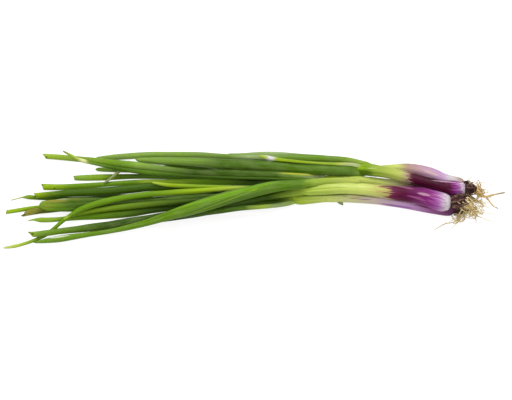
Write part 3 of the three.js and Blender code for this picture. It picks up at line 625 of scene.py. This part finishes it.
def strands(name, courses, halves):
    """Thin tubes along many courses at once: centre + half (n cos a + b sin a), where n and b
    are square to the course. The half width falls to its tip, where the tube closes."""
    count, steps = courses.shape[:2]
    heading = np.gradient(courses, axis=1)
    heading /= np.linalg.norm(heading, axis=2, keepdims=True) + 1e-9
    across = np.cross(heading, ASKEW)
    across /= np.linalg.norm(across, axis=2, keepdims=True) + 1e-9
    over = np.cross(across, heading)
    a = np.linspace(0, TURN, ROOT_SIDES, endpoint=False)
    t = np.linspace(0, 1, steps)
    knots = 1 + 0.12 * np.sin(23 * t + 5 * halves[:, None])
    width = halves[:, None] * (1.1 - 0.75 * t ** 2) * knots
    ring = across[:, :, None] * np.cos(a)[:, None] + over[:, :, None] * np.sin(a)[:, None]
    points = courses[:, :, None] + width[:, :, None, None] * ring
    grain = np.zeros_like(points)
    grain[..., 0] = t[:, None] * ROOT_GRAIN
    grain[..., 1] = a * 2 + np.arange(count)[:, None, None] * NEXT_GRAIN
    index = np.arange(count * steps * ROOT_SIDES).reshape(count, steps, ROOT_SIDES)
    beside = np.roll(index, -1, axis=2)
    quads = [index[:, :-1], index[:, 1:], beside[:, 1:], beside[:, :-1]]
    quads = np.stack(quads, axis=-1).reshape(-1, 4)
    ends = np.concatenate([index[:, 0], index[:, -1, ::-1]])
    corners = np.concatenate([quads.ravel(), ends.ravel()])
    sizes = np.concatenate([np.full(len(quads), 4), np.full(len(ends), ROOT_SIDES)])
    return fill_mesh(name, MM * points.reshape(-1, 3), corners, sizes, grain.reshape(-1, 3))


def root_courses(end, heading, half, length, tangle, count, draw):
    """Courses of many roots at once. Each sets off outward from the knob, turns about an axis
    of its own, now one way and now the other, and is drawn back where it strays far from the
    middle of the tangle. It stays above the surface."""
    (u, v, height), (reach_along, reach_up) = tangle
    middle = in_space(u, v, (height - v * math.cos(LEAN)) / math.sin(LEAN)) / MM
    reach = np.array([reach_along, reach_up, TANGLE_DEPTH])
    to_plane = np.stack([ALONG, UP_THE_PLANE, OUT_OF_PLANE], axis=1)
    random = draw.uniform(-0.5, 0.5, (count, 3))
    outward = np.cross(random, heading)
    outward /= np.linalg.norm(outward, axis=1, keepdims=True)
    axis = draw.normal(0, 1, (count, 3))
    axis /= np.linalg.norm(axis, axis=1, keepdims=True)
    start = draw.uniform(*ROOT_STARTS, count) * length
    ring = half * ROOT_RING * (RING_CLOSES - start / length)
    at = end + heading * start[:, None] + outward * ring[:, None]
    going = outward * draw.uniform(*PUSHES_OUT, (count, 1))
    going = going + heading * draw.uniform(*PUSHES_AHEAD, (count, 1))
    going[:, 2] = np.minimum(going[:, 2], STEEPEST)
    room = draw.uniform(*ROOM, count)
    step = draw.uniform(*ROOT_LENGTHS, count) * (reach_along + reach_up) / 2 / ROOT_STEPS
    turn = draw.uniform(*ROOT_CURLS, count)
    phase = draw.uniform(0, TURN, count)
    beat = draw.uniform(*BEATS, count)
    points = []
    for k in range(ROOT_STEPS):
        points.append(at.copy())
        going /= np.linalg.norm(going, axis=1, keepdims=True)
        at = at + going * step[:, None]
        at[:, 2] = np.maximum(at[:, 2], LEAST_HEIGHT)
        angle = (turn * (DRIFT + np.sin(phase + k * beat)) / ROOT_STEPS)[:, None]
        going = going * np.cos(angle) + np.cross(axis, going) * np.sin(angle)
        home = middle - at
        far = np.linalg.norm(home @ to_plane / reach, axis=1) / room
        pull = np.clip(far - PULL_FROM, 0, 1) / np.linalg.norm(home, axis=1)
        going = going + home * pull[:, None] * PULL
    return np.stack(points, axis=1)


def shred_courses(end, heading, half, length, count, draw):
    """Courses of dry shreds of skin round the knob: straight from a ring at the shaft's end to
    a wider or narrower ring further out, and bowed outward by a half sine."""
    side = np.cross(heading, OUT_OF_PLANE)
    out = np.cross(side, heading)
    a = draw.uniform(0, TURN, (count, 1))
    ring = side * np.cos(a) + out * np.sin(a)
    begin = end + ring * half * SHRED_RING
    ahead = heading * length * draw.uniform(*SHRED_LENGTHS, (count, 1))
    far = end + ahead + ring * half * draw.uniform(*SHRED_ENDS, (count, 1))
    t = np.linspace(0, 1, ROOT_STEPS)[:, None]
    bow = SHRED_BOW * np.sin(math.pi * t)
    courses = begin[:, None] + (far - begin)[:, None] * t + ring[:, None] * bow
    courses[..., 2] = np.maximum(courses[..., 2], LEAST_HEIGHT)
    return courses


def stray_course(shaft, end, heading, route):
    """A root that strays from the tangle: a smooth route from the middle of the knob, which
    comes down to the surface by its end, given as u and v on the drawing plane."""
    lift = BUNCH[shaft].lift[0]
    u, v = np.array(route, float).T
    resting = (STRAY_HEIGHT - v * math.cos(LEAN)) / math.sin(LEAN)
    fall = rise(np.arange(len(route)) + 1, 0, len(route) - 1)
    points = in_space(u, v, lift + (resting - lift) * fall) / MM
    knob = end + heading * STRAY_START
    rows = np.vstack([knob, points])
    return smooth_route(rows, np.linspace(0, len(rows) - 1, ROOT_STEPS))


# Materials

# The shades are as they look under the bright light, and the surfaces are this much darker
UNDER_LIGHT = 0.62

# The stretch of the bunch that its colour ramps cover, in millimetres
RAMP_LENGTH = 420.0

# How far the patches of a leaf shift its hues, in millimetres, how strong its streaks are, the
# shade of its wax, and where on its grain a root's dark tip begins. On a shaft, half the length
# over which the streaks set in. How far a mark reaches past its oval, and how soft its edge is.
PATCH_SHIFT = 16.0
LEAF_STREAK = 0.7
WAX = "dusty_green"
ROOT_TIP = 22.0
STREAKS_SET_IN = 6.0
MARK_REACH = 1.25
MARK_EDGE = 0.6

# Every shade of the bunch, in six hex digits of screen red, green and blue
SHADES = {
    "white": "e8e0e2", "pale": "e8efd8", "straw": "e8eca8", "cream": "d6d890", "dry_cream": "bcae68",
    "peach": "e4c4b4", "yellow": "c4c028", "pale_grey_green": "b8c48c", "pale_yellow_green": "d2df73",
    "light_lime": "bec861", "pale_lime": "b2c844", "lime": "9ab914", "yellow_green": "9dba38",
    "spring_green": "78ac14", "bright_green": "82a51c", "fresh_green": "6a9310", "leaf_green": "587f13",
    "dark_green": "486a0c", "deep_green": "365208", "bloom_green": "9fb876",
    "light_waxy_green": "86aa40", "waxy_green": "6f9332", "waxy_shade": "56782c",
    "dusty_green": "8e9c62", "withered": "988f38", "olive": "787c2c", "tan": "a07a50",
    "dark_brown": "3c2c14", "shadow": "28300c", "rosy_brown": "b69783", "pale_pink": "e0b4d4",
    "pink": "cca1b5", "lilac": "d0a4d3", "rose": "b06c94", "orchid": "ae66b0", "mauve": "985490",
    "violet": "8c44a0", "magenta": "a0407c", "purple": "842076", "dusk_purple": "6c3c64",
    "plum": "70224a", "wine": "500a2b", "dark_wine": "3c001c", "root_brown": "b08444",
    "root_tan": "dcb468", "root_gold": "ecd08c", "root_cream": "fce8b0", "root_white": "fff6d4",
    "knob_black": "180a0c", "knob_brown": "3a2022", "knob_grey": "5c3c40", "skin_grey": "7c5450",
    "skin_tan": "c4a878",
}


def shade(name):
    """A named shade as linear light."""
    parts = np.array([int(SHADES[name][k:k + 2], 16) for k in (0, 2, 4)]) / 255
    linear = np.where(parts <= 0.04045, parts / 12.92, ((parts + 0.055) / 1.055) ** 2.4)
    return (*(float(x) * UNDER_LIGHT for x in linear), 1.0)


class Value:
    """A node's output. Python's operators on it add Math nodes."""

    def __init__(self, finish, socket):
        self.finish = finish
        self.socket = socket

    def math(self, operation, first, second):
        """The result of a Math node."""
        return self.finish.node("ShaderNodeMath", {"operation": operation}, {0: first, 1: second})

    def __add__(self, other):
        return self.math("ADD", self, other)

    def __radd__(self, other):
        return self.math("ADD", other, self)

    def __sub__(self, other):
        return self.math("SUBTRACT", self, other)

    def __rsub__(self, other):
        return self.math("SUBTRACT", other, self)

    def __mul__(self, other):
        return self.math("MULTIPLY", self, other)

    def __rmul__(self, other):
        return self.math("MULTIPLY", other, self)

    def __truediv__(self, other):
        return self.math("DIVIDE", self, other)

    def __pow__(self, other):
        return self.math("POWER", self, other)

    def step(self, low, high):
        """0 below low and 1 above high, smooth between them."""
        ends = {"From Min": low, "From Max": high, "Value": self}
        return self.finish.node("ShaderNodeMapRange", {"interpolation_type": "SMOOTHSTEP"}, ends)


class Finish:
    """A material under way. One method adds any node."""

    def __init__(self, name):
        self.material = bpy.data.materials.new(name)
        self.material.use_nodes = True
        self.tree = self.material.node_tree
        self.tree.nodes.clear()

    def node(self, kind, settings=None, sockets=None, output=0):
        """Adds a node, sets it up, feeds its sockets with values or links, and gives back one
        of its outputs."""
        made = self.tree.nodes.new(kind)
        for key, value in (settings or {}).items():
            if key == "stops":
                self.set_stops(made.color_ramp, value)
            else:
                setattr(made, key, value)
        for key, value in (sockets or {}).items():
            if isinstance(value, Value):
                self.tree.links.new(value.socket, made.inputs[key])
            else:
                made.inputs[key].default_value = value
        return Value(self, made.outputs[output]) if made.outputs else None

    def set_stops(self, ramp, stops):
        """Puts (position, colour) stops on a colour ramp."""
        while len(ramp.elements) < len(stops):
            ramp.elements.new(1.0)
        for element, (position, colour) in zip(ramp.elements, stops):
            element.position = position
            element.color = colour

    def mix(self, factor, first, second):
        """The first colour where the factor is 0 and the second where it is 1."""
        sockets = {0: factor, 6: first, 7: second}
        return self.node("ShaderNodeMix", {"data_type": "RGBA"}, sockets, output=2)

    def scaled(self, colour, factor):
        """A colour made lighter or darker by a factor."""
        sockets = {0: colour, "Scale": factor}
        return self.node("ShaderNodeVectorMath", {"operation": "SCALE"}, sockets)

    def noise(self, vector, stretch, detail=3.0):
        """Noise on a vector whose parts are first multiplied by those of stretch."""
        sockets = {0: vector, 1: stretch}
        place = self.node("ShaderNodeVectorMath", {"operation": "MULTIPLY"}, sockets)
        return self.node("ShaderNodeTexNoise", {}, {"Vector": place, "Scale": 1.0, "Detail": detail})

    def grain(self):
        """Along the piece, to its side and out of it, in millimetres."""
        return self.node("ShaderNodeAttribute", {"attribute_name": "grain"}, output=1)

    def place(self):
        """The place on the drawing plane: u and v in millimetres."""
        spot = self.node("ShaderNodeTexCoord", output=3)
        measures = []
        for axis in (ALONG, UP_THE_PLANE):
            sockets = {0: spot, 1: tuple(axis / MM)}
            measure = self.node("ShaderNodeVectorMath", {"operation": "DOT_PRODUCT"}, sockets, output=1)
            measures.append(measure - float(BUNCH_MIDDLE @ axis))
        return measures

    def along(self, u, stops):
        """A colour that changes along the bunch, from (u, shade) stops in order."""
        ramp = [(x / RAMP_LENGTH, shade(name)) for x, name in stops]
        return self.node("ShaderNodeValToRGB", {"stops": ramp}, {"Fac": u / RAMP_LENGTH})

    def marked(self, colour, u, v, wobble, marks):
        """The colour with oval marks over it, each (u, v, half length, half height, shade,
        strength) and rising along the bunch by an optional slope, with uneven edges. Some marks
        are the thing's own stains and streaks, and some are painted highlights and painted shade."""
        for at_u, at_v, long, high, name, strength, *slope in marks:
            du = u - at_u
            dv = v - at_v - du * sum(slope)
            away = ((du / long) ** 2 + (dv / high) ** 2) ** 0.5
            cover = (MARK_REACH - away + wobble).step(0.0, MARK_EDGE) * strength
            colour = self.mix(cover, colour, shade(name))
        return colour

    def done(self, sockets):
        """Joins a Principled shader with these sockets to the output."""
        shader = self.node("ShaderNodeBsdfPrincipled", {}, sockets)
        self.node("ShaderNodeOutputMaterial", {}, {"Surface": shader})
        return self.material

    def bump(self, height, distance, strength):
        """The normal of a surface raised by a height."""
        sockets = {"Height": height, "Distance": distance, "Strength": strength}
        return self.node("ShaderNodeBump", {}, sockets)


def leaf_finish(name, hues, marks=(), bloom=0.0):
    """Green that changes along the leaf, with fine streaks along it, a grey-green bloom of wax
    in patches, and marks."""
    finish = Finish(name)
    grain = finish.grain()
    u, v = finish.place()
    streaks = finish.noise(grain, (0.025, 1.6, 1.6))
    patches = finish.noise(grain, (0.09, 0.3, 0.3))
    specks = finish.noise(grain, (1.2, 2.5, 2.5), detail=2.0)
    colour = finish.along(u + (patches - 0.5) * PATCH_SHIFT, hues)
    colour = finish.scaled(colour, 1 + (streaks - 0.5) * LEAF_STREAK + (specks - 0.5) * 0.3)
    bloomed = (patches + (specks - 0.5) * 0.5).step(0.4, 0.62) * bloom
    colour = finish.mix(bloomed, colour, shade(WAX))
    colour = finish.marked(colour, u, v, (specks - 0.5) * 0.9 + (streaks - 0.5) * 0.8, marks)
    return finish.done({
        "Base Color": colour,
        "Roughness": 0.3 + streaks * 0.16 + bloomed * 0.2,
        "Specular IOR Level": 0.07,
        "Normal": finish.bump(streaks + specks * 0.3, 0.0005, 0.5),
    })


def shaft_finish(
        name, hues, marks=(), tongues=10.0, streak=0.5, streak_hue="rose", streaks_from=310.0):
    """Green that turns purple in tongues, with streaks of a second shade beyond a place along
    the bunch, and marks."""
    finish = Finish(name)
    grain = finish.grain()
    u, v = finish.place()
    streaks = finish.noise(grain, (0.02, 1.1, 1.1))
    threads = finish.noise(grain, (0.04, 3.2, 3.2), detail=2.0)
    patches = finish.noise(grain, (0.1, 0.25, 0.25))
    colour = finish.along(u + (streaks - 0.5) * tongues, hues)
    colour = finish.scaled(colour, 1 + (threads - 0.5) * 0.3 + (patches - 0.5) * 0.16)
    veins = (streaks * 0.6 + threads * 0.4).step(0.54, 0.66)
    begun = u.step(streaks_from - STREAKS_SET_IN, streaks_from + STREAKS_SET_IN)
    veins = veins * begun * streak
    colour = finish.mix(veins, colour, shade(streak_hue))
    colour = finish.marked(colour, u, v, (threads - 0.5) * 1.2, marks)
    return finish.done({
        "Base Color": colour,
        "Roughness": 0.26 + threads * 0.16,
        "Specular IOR Level": 0.08,
        "Normal": finish.bump(threads + streaks * 0.5, 0.0004, 0.4),
    })


def root_finish(name, hues, tip):
    """Tan roots, each of its own tint, which darken towards the tip."""
    finish = Finish(name)
    grain = finish.grain()
    tints = finish.noise(grain, (0.12, 1.9, 1.9))
    threads = finish.noise(grain, (0.6, 2.5, 2.5))
    ramp = [(k / (len(hues) - 1), shade(hue)) for k, hue in enumerate(hues)]
    colour = finish.node("ShaderNodeValToRGB", {"stops": ramp}, {"Fac": tints.step(0.3, 0.7)})
    colour = finish.scaled(colour, 0.8 + threads * 0.6)
    spot = finish.node("ShaderNodeSeparateXYZ", {}, {"Vector": grain})
    colour = finish.mix(spot.step(ROOT_TIP, ROOT_GRAIN) * tip, colour, shade("dark_brown"))
    return finish.done({
        "Base Color": colour,
        "Roughness": 0.8,
        "Specular IOR Level": 0.1,
        "Normal": finish.bump(threads, 0.0003, 0.6),
    })


def finish_piece(piece, node, material):
    """Puts on the material, hangs the piece under the root body, and hides the part of the solid model
    with the given node name.
    """
    piece.data.materials.append(material)
    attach(piece, "root")
    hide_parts(node)


# The leaves' forms, shades and marks. A cut is how much further its upper edge reaches, a notch
# is (angle, width, depth), a crease is (start, end, side, width, depth), and flat is (length,
# share of the depth that is lost).
LEAVES = {
    "onion_4_leaf_1": dict(
        slot="leaf_green", bloom=0.2,
        # The light bloom green stop at 222 is a painted highlight.
        hues=[(180, "light_waxy_green"), (222, "bloom_green"), (240, "waxy_green"),
              (300, "light_waxy_green")]),
    "onion_4_leaf_2": dict(
        slot="leaf_green",
        hues=[(76, "light_waxy_green"), (110, "leaf_green"), (200, "deep_green"),
              (290, "waxy_green")]),
    "onion_3_leaf_1": dict(
        slot="leaf_blue_green", bloom=0.3,
        hues=[(76, "light_waxy_green"), (130, "light_waxy_green"), (180, "waxy_green"),
              (200, "bloom_green"), (225, "waxy_green"), (270, "fresh_green"), (294, "yellow_green")]),
    "onion_3_leaf_2": dict(
        slot="leaf_blue_green", bloom=0.22, wave=0.02,
        hues=[(108, "light_waxy_green"), (160, "waxy_green"), (176, "dark_green"),
              (284, "leaf_green"), (298, "yellow_green")],
        marks=[(293, 20.5, 6, 2.2, "dark_green", 0.7), (295, 27, 4, 1.2, "tan", 0.5)]),
    "onion_3_leaf_3": dict(
        slot="leaf_yellow_green", ragged=0.3,
        hues=[(207, "pale_lime"), (211, "pale_lime"), (213, "white"), (216.5, "white"),
              (218.5, "lime"), (266, "yellow_green"), (275, "light_lime"), (282, "pale_grey_green"),
              (292, "yellow_green")]),
    "onion_5_leaf_1": dict(
        slot="leaf_green", cut=1, bore=12,
        hues=[(58, "light_waxy_green"), (80, "bright_green"), (104, "dark_green"),
              (152, "leaf_green"), (184, "waxy_green"), (210, "yellow_green"), (262, "yellow_green")]),
    "onion_5_leaf_2": dict(
        slot="leaf_green", cut=2, bore=14, notches=[(0.9, 0.5, 1.8), (4.5, 0.5, 1.5)],
        hues=[(32, "lime"), (60, "fresh_green"), (104, "fresh_green"), (120, "yellow_green"),
              (160, "fresh_green"), (200, "deep_green"), (262, "light_waxy_green")],
        marks=[(43.2, 9.2, 0.8, 0.6, "shadow", 0.9)]),
    "onion_5_leaf_3": dict(
        slot="leaf_withered", hues=[(83, "dusty_green"), (130, "olive"), (262, "olive")]),
    "onion_5_leaf_4": dict(
        slot="leaf_green", cut=3, bore=16, bloom=0.2, notches=[(1.9, 0.5, 3)],
        hues=[(33, "yellow_green"), (96, "fresh_green"), (108, "light_waxy_green"),
              (156, "deep_green"), (222, "dark_green"), (240, "light_waxy_green"),
              (258, "pale_grey_green"), (261, "waxy_green")],
        marks=[(240, 20.7, 17, 0.6, "yellow", 0.8, -0.05)]),
    "onion_5_leaf_5": dict(
        slot="leaf_dark_green",
        hues=[(49, "withered"), (56, "yellow_green"), (61, "yellow_green"), (64, "light_lime"),
              (66, "straw"), (69, "cream"), (71, "waxy_green"), (90, "dark_green"), (120, "leaf_green"),
              (150, "deep_green"), (262, "leaf_green")]),
    "onion_1_leaf_1": dict(
        slot="leaf_green", cut=-1, bore=10,
        hues=[(4, "lime"), (48, "fresh_green"), (160, "dark_green"), (238, "yellow_green")]),
    "onion_2_leaf_1": dict(
        slot="leaf_dark_green",
        hues=[(8, "pale_lime"), (30, "leaf_green"), (120, "deep_green"), (230, "dark_green"),
              (244, "yellow_green")]),
    "onion_1_leaf_2": dict(
        slot="leaf_withered", cut=-5, ragged=0.5, wave=0.1, flat=(40, 0.4),
        hues=[(17, "withered"), (48, "dark_green"), (238, "light_waxy_green")],
        marks=[(19, -11.6, 1.6, 0.8, "dark_brown", 0.8), (33, -9.6, 7, 0.5, "dark_brown", 0.6, 0.3)]),
    "onion_1_leaf_3": dict(
        slot="leaf_blue_green", bloom=0.12, wave=0.02, flat=(70, 0.6),
        creases=[(140, 206, 0.25, 0.14, 0.7), (150, 206, -0.45, 0.12, 0.5)],
        hues=[(31, "bright_green"), (56, "dark_green"), (225, "deep_green"),
              (238, "yellow_green")],
        # The pale mark at 46 is a painted highlight along the upper edge.
        marks=[(44, -0.6, 9, 1.8, "withered", 0.7), (58, 0.6, 10, 0.8, "olive", 0.6),
               (52, -7.5, 10, 1.4, "leaf_green", 0.6), (38, -4.6, 3, 1.4, "withered", 0.5),
               (46, 0.8, 9, 0.5, "pale", 0.3)]),
    "onion_2_leaf_2": dict(
        slot="leaf_dark_green", cut=2, bore=14,
        hues=[(27, "lime"), (48, "dark_green"), (230, "deep_green"), (244, "yellow_green")]),
    "onion_1_leaf_4": dict(
        slot="leaf_dark_green",
        hues=[(22, "yellow_green"), (64, "fresh_green"), (120, "deep_green"), (225, "deep_green"),
              (238, "yellow_green")]),
    "onion_1_leaf_5": dict(
        slot="leaf_green",
        hues=[(49, "bright_green"), (160, "deep_green"), (225, "deep_green"),
              (238, "yellow_green")]),
    "onion_2_leaf_3": dict(
        slot="leaf_yellow_green",
        hues=[(121, "pale_lime"), (135, "lime"), (160, "bright_green"), (184, "lime"),
              (200, "leaf_green"), (230, "leaf_green"), (244, "yellow_green")]),
    "onion_2_leaf_4": dict(
        slot="leaf_yellow_green",
        hues=[(2, "cream"), (12, "pale_lime"), (30, "fresh_green"), (120, "fresh_green"),
              (160, "lime"), (188, "pale_lime"), (200, "bright_green"), (230, "fresh_green"),
              (244, "yellow_green")],
        marks=[(52, -13.6, 3.4, 1.4, "pale_lime", 0.6)]),
    "onion_1_leaf_6": dict(
        slot="leaf_dark_green",
        hues=[(104, "deep_green"), (224, "deep_green"), (238, "yellow_green")]),
    "onion_2_leaf_5": dict(
        slot="leaf_dark_green",
        hues=[(134, "dark_green"), (216, "deep_green"), (244, "yellow_green")]),
    "onion_1_leaf_7": dict(
        slot="leaf_dark_green", cut=4, bore=16, bloom=0.2, notches=[(1.3, 0.8, 4)],
        hues=[(22, "yellow_green"), (36, "fresh_green"), (84, "deep_green"), (150, "deep_green"),
              (196, "dark_green"), (210, "yellow_green"), (224, "bloom_green"), (237, "yellow_green")]),
    "onion_2_leaf_6": dict(
        slot="leaf_green", bloom=0.2, creases=[(66, 190, 0.3, 0.16, 0.8)],
        hues=[(35, "fresh_green"), (240, "leaf_green"), (252, "yellow_green"),
              (288, "light_lime")],
        marks=[(203, 8.2, 4, 0.6, "lime", 0.5, 0.3),
               (184, 5, 44, 1.8, "spring_green", 0.6, 0.27),
               (182, -1.5, 34, 2.0, "waxy_shade", 0.6, 0.27),
               # The thin dark green line at 176 is painted shade in the fold.
               (176, -1.2, 22, 0.3, "dark_green", 0.8, 0.37),
               (178, -1.8, 22, 0.35, "yellow_green", 0.6, 0.37),
               (47, -29.4, 8, 0.8, "pale", 0.7, 0.12)]),
}

# The shafts' sheaths, each (place, slant, angle, step), their grooves, each (angle, width,
# depth, run), their shades and marks
SHAFTS = {
    "onion_5_shaft": dict(
        sheaths=[(40, 6, 1, 0.3)],
        hues=[(256, "lime"), (304, "pale_yellow_green"), (316, "cream"), (332, "plum"),
              (368, "wine")]),
    "onion_1_shaft": dict(
        sheaths=[(60, 12, 1.2, 0.3), (95, 8, 2.4, 0.25)], streak_hue="plum", streaks_from=330.0,
        grooves=[(0.9, 0.16, 0.12, 60), (1.7, 0.13, 0.1, 45), (2.5, 0.15, 0.1, 70)],
        hues=[(231, "lime"), (264, "pale_yellow_green"), (325, "lilac"), (345, "mauve"),
              (360, "dusk_purple")],
        marks=[(346, -6.5, 13, 1.5, "plum", 0.8, -0.22), (276, 3, 3, 0.4, "tan", 0.6),
               (284, 1.4, 5, 0.7, "tan", 0.6), (292, 0.4, 5, 0.5, "mauve", 0.6),
               # The dark green mark at 258 and the olive mark at 291 are painted shade in the cleft
               # where the second onion's neck lies over this one.
               (258, 4.0, 26, 0.9, "dark_green", 0.8, 0.025), (291, 3.3, 14, 0.7, "olive", 0.7, -0.11),
               (220, -4.8, 12, 0.8, "pale_grey_green", 0.5),
               (318, -4.8, 14, 0.9, "violet", 0.7, -0.15)]),
    "onion_4_shaft": dict(
        sheaths=[(50, 6, 1, 0.25)], tongues=18.0, streak_hue="magenta", streaks_from=326.0,
        hues=[(291, "yellow_green"), (318, "pale_yellow_green"), (326, "rosy_brown"),
              (354, "lilac"), (361, "white"), (371, "rosy_brown")],
        marks=[(345, 21.5, 6, 1.0, "peach", 0.7, -0.35)]),
    "onion_3_shaft": dict(
        sheaths=[(42, 5, 1.5, 0.3)], tongues=20.0, streak=0.25, streak_hue="purple",
        streaks_from=332.0, grooves=[(1.2, 0.14, 0.1, 40), (2.1, 0.14, 0.1, 50)],
        hues=[(284, "lime"), (292, "bright_green"), (320, "light_lime"), (326, "rosy_brown"),
              (328.5, "wine"), (345, "dark_wine"), (360, "wine"), (363.5, "purple"), (367.5, "orchid"),
              (371.5, "white")],
        # The straw mark at 298 is a painted highlight on the neck, and the pale pink mark at 357 is a
        # painted highlight along the bulb's upper edge.
        marks=[(298, 25.5, 4, 0.4, "straw", 0.5), (290, 21.4, 8, 3, "dark_green", 0.85),
               (357, 14.6, 11, 0.5, "pale_pink", 0.7, -0.09), (346, 9, 8, 1.2, "plum", 0.5, -0.2)]),
    "onion_2_shaft": dict(
        sheaths=[(55, 8, 0.9, 0.35), (78, 10, 2.2, 0.3)], tongues=26.0, streak=0.7,
        streaks_from=330.0,
        grooves=[(0.8, 0.15, 0.1, 70), (1.5, 0.13, 0.12, 55), (2.2, 0.14, 0.1, 65)],
        hues=[(237, "yellow_green"), (290, "pale_yellow_green"), (309, "dry_cream"), (313, "plum"),
              (322, "wine"), (344, "purple"), (350.5, "orchid"), (358, "white")],
        # The rose mark at 322 is a painted highlight along the upper edge, the pink mark at 339 a
        # painted highlight on the purple of the bulb, and the long straw mark at 280 a painted
        # highlight along the neck.
        marks=[(308, 10.8, 5, 0.8, "plum", 0.8), (322, 10.6, 9, 0.9, "rose", 0.6, -0.2),
               (339, 4.6, 5, 1.1, "pink", 0.7, -0.2), (347, 3.2, 5, 0.7, "magenta", 0.6, -0.3),
               (334, 1.2, 8, 0.8, "rose", 0.5, -0.3), (280, 11.2, 18, 0.5, "straw", 0.5, -0.05)]),
}

# What of a look goes to the skin; the rest but the slot goes to the finish
FORMS = {"cut", "notches", "ragged", "bore", "creases", "wave", "flat", "sheaths", "grooves"}


def make_pieces(looks, make_skin, make_finish, ending):
    """Makes the skins of all leaves or all shafts, each with a finish of its own."""
    for name, look in looks.items():
        slot = look.pop("slot", "shaft_purple")
        forms = {key: look.pop(key) for key in FORMS & look.keys()}
        finish_piece(make_skin(name, **forms), name, make_finish(name + ending, **look))


make_pieces(LEAVES, leaf_piece, leaf_finish, "_green")
make_pieces(SHAFTS, shaft_piece, shaft_finish, "_purple")

draw = np.random.default_rng(ROOT_SEED)
CREAM = ["root_brown", "root_gold", "root_cream", "root_white"]
TAN = ["root_brown", "root_tan", "root_gold", "root_cream"]
DARK = ["knob_black", "knob_brown", "knob_grey"]
DRY = ["knob_black", "knob_brown", "skin_grey", "skin_tan"]
cream_roots = root_finish("cream_roots", CREAM, tip=0.3)
tan_roots = root_finish("tan_roots", TAN, tip=0.8)
dark_knob = root_finish("dark_knob", DARK, tip=0.0)
dry_shreds = root_finish("dry_shreds", DRY, tip=0.0)
TAN_ONIONS = (3, 4)

for onion, (length, swell, slope) in KNOBS.items():
    shaft = f"onion_{onion}_shaft"
    node = f"onion_{onion}_roots"
    middle, reach, count, shred_count = TANGLES[onion]
    end, heading, half = root_end(shaft)
    heading = heading + slope * UP_THE_PLANE
    heading /= np.linalg.norm(heading)
    knob = knob_piece(f"onion_{onion}_knob", end, heading, half, length, swell)
    finish_piece(knob, node, dark_knob)
    courses = root_courses(end, heading, half, length, (middle, reach), count, draw)
    halves = draw.uniform(*ROOT_HALVES, count)
    for thick, route in STRAY_ROOTS.get(onion, []):
        courses = np.concatenate([courses, stray_course(shaft, end, heading, route)[None]])
        halves = np.append(halves, thick)
    tuft = strands(f"onion_{onion}_root_strands", courses, halves)
    finish_piece(tuft, node, tan_roots if onion in TAN_ONIONS else cream_roots)
    courses = shred_courses(end, heading, half, length, shred_count, draw)
    halves = draw.uniform(*SHRED_HALVES, shred_count)
    shreds = strands(f"onion_{onion}_dry_shreds", courses, halves)
    finish_piece(shreds, node, dry_shreds)

# A small torn scale that points down from the first onion's neck: its ends as u and v, and the
# half width where it grows
SCALE_ENDS = ((271.0, -0.4), (274.3, -4.2))
SCALE_HALF = 1.9
shaft = BUNCH["onion_1_shaft"]
u, v = np.linspace(*SCALE_ENDS, ROOT_STEPS).T
scale_course = in_space(u, v, np.interp(-u, -shaft.u, shaft.lift)) / MM
scale = strands("onion_1_torn_scale", scale_course[None], np.array([SCALE_HALF]))
scale_green = leaf_finish("torn_scale_green", [(0, "dusty_green"), (400, "dusty_green")])
finish_piece(scale, "onion_1_shaft", scale_green)


# Floor, light and camera

def area_light(name, place, size, power):
    """A round lamp of a size and power that shines on the bunch from a place."""
    light = bpy.data.lights.new(name, "AREA")
    light.shape = "DISK"
    light.size = size
    light.energy = power
    lamp = bpy.data.objects.new(name, light)
    bpy.context.collection.objects.link(lamp)
    lamp.location = place
    lamp.rotation_euler = aimed(-np.asarray(place))


def aimed(way):
    """The turn that points a camera's or lamp's -Z along a way, with Y up."""
    return Vector(way).to_track_quat("-Z", "Y").to_euler()


# The size of the floor in metres, how strongly it glows, and how strong the light all round is
FLOOR_SIZE = 8.0
FLOOR_GLOW = 0.84
SKY_LIGHT = 0.38

bpy.ops.mesh.primitive_plane_add(size=FLOOR_SIZE)
floor = bpy.context.object
floor.name = "floor"
floor_finish = Finish("floor_white")
floor.data.materials.append(floor_finish.done({
    "Base Color": (0.2, 0.2, 0.2, 1),
    "Roughness": 0.9,
    "Emission Color": (1, 1, 1, 1),
    "Emission Strength": FLOOR_GLOW,
}))

area_light("light_behind", (0.05, 0.4, 1.2), 0.9, 18)
area_light("light_front", (0.2, -1.0, 0.9), 0.8, 9)
area_light("light_left", (-1.1, -0.3, 1.0), 0.9, 8)

world = bpy.data.worlds.new("studio")
bpy.context.scene.world = world
world.use_nodes = True
sky = world.node_tree.nodes["Background"].inputs
sky["Color"].default_value = (1, 1, 1, 1)
sky["Strength"].default_value = SKY_LIGHT
bpy.context.scene.view_settings.view_transform = "Standard"

# The picture is 512 pixels wide and each pixel is 0.8 mm of the drawing plane. The camera looks
# square at the plane through a long lens, at a place a little out of it.
PICTURE_WIDTH = 512
MM_PER_PIXEL = 0.8
LENS = 1200.0
SENSOR = 36.0
LOOK_LIFT = 8.0
camera_data = bpy.data.cameras.new("camera")
camera_data.lens = LENS
camera_data.sensor_width = SENSOR
camera = bpy.data.objects.new("camera", camera_data)
bpy.context.collection.objects.link(camera)
width = PICTURE_WIDTH * MM_PER_PIXEL
looked_at = in_space(width / 2, 0, LOOK_LIFT)
distance = width * MM * LENS / SENSOR
camera.location = looked_at + OUT_OF_PLANE * distance
camera.rotation_euler = aimed(-OUT_OF_PLANE)
bpy.context.scene.camera = camera
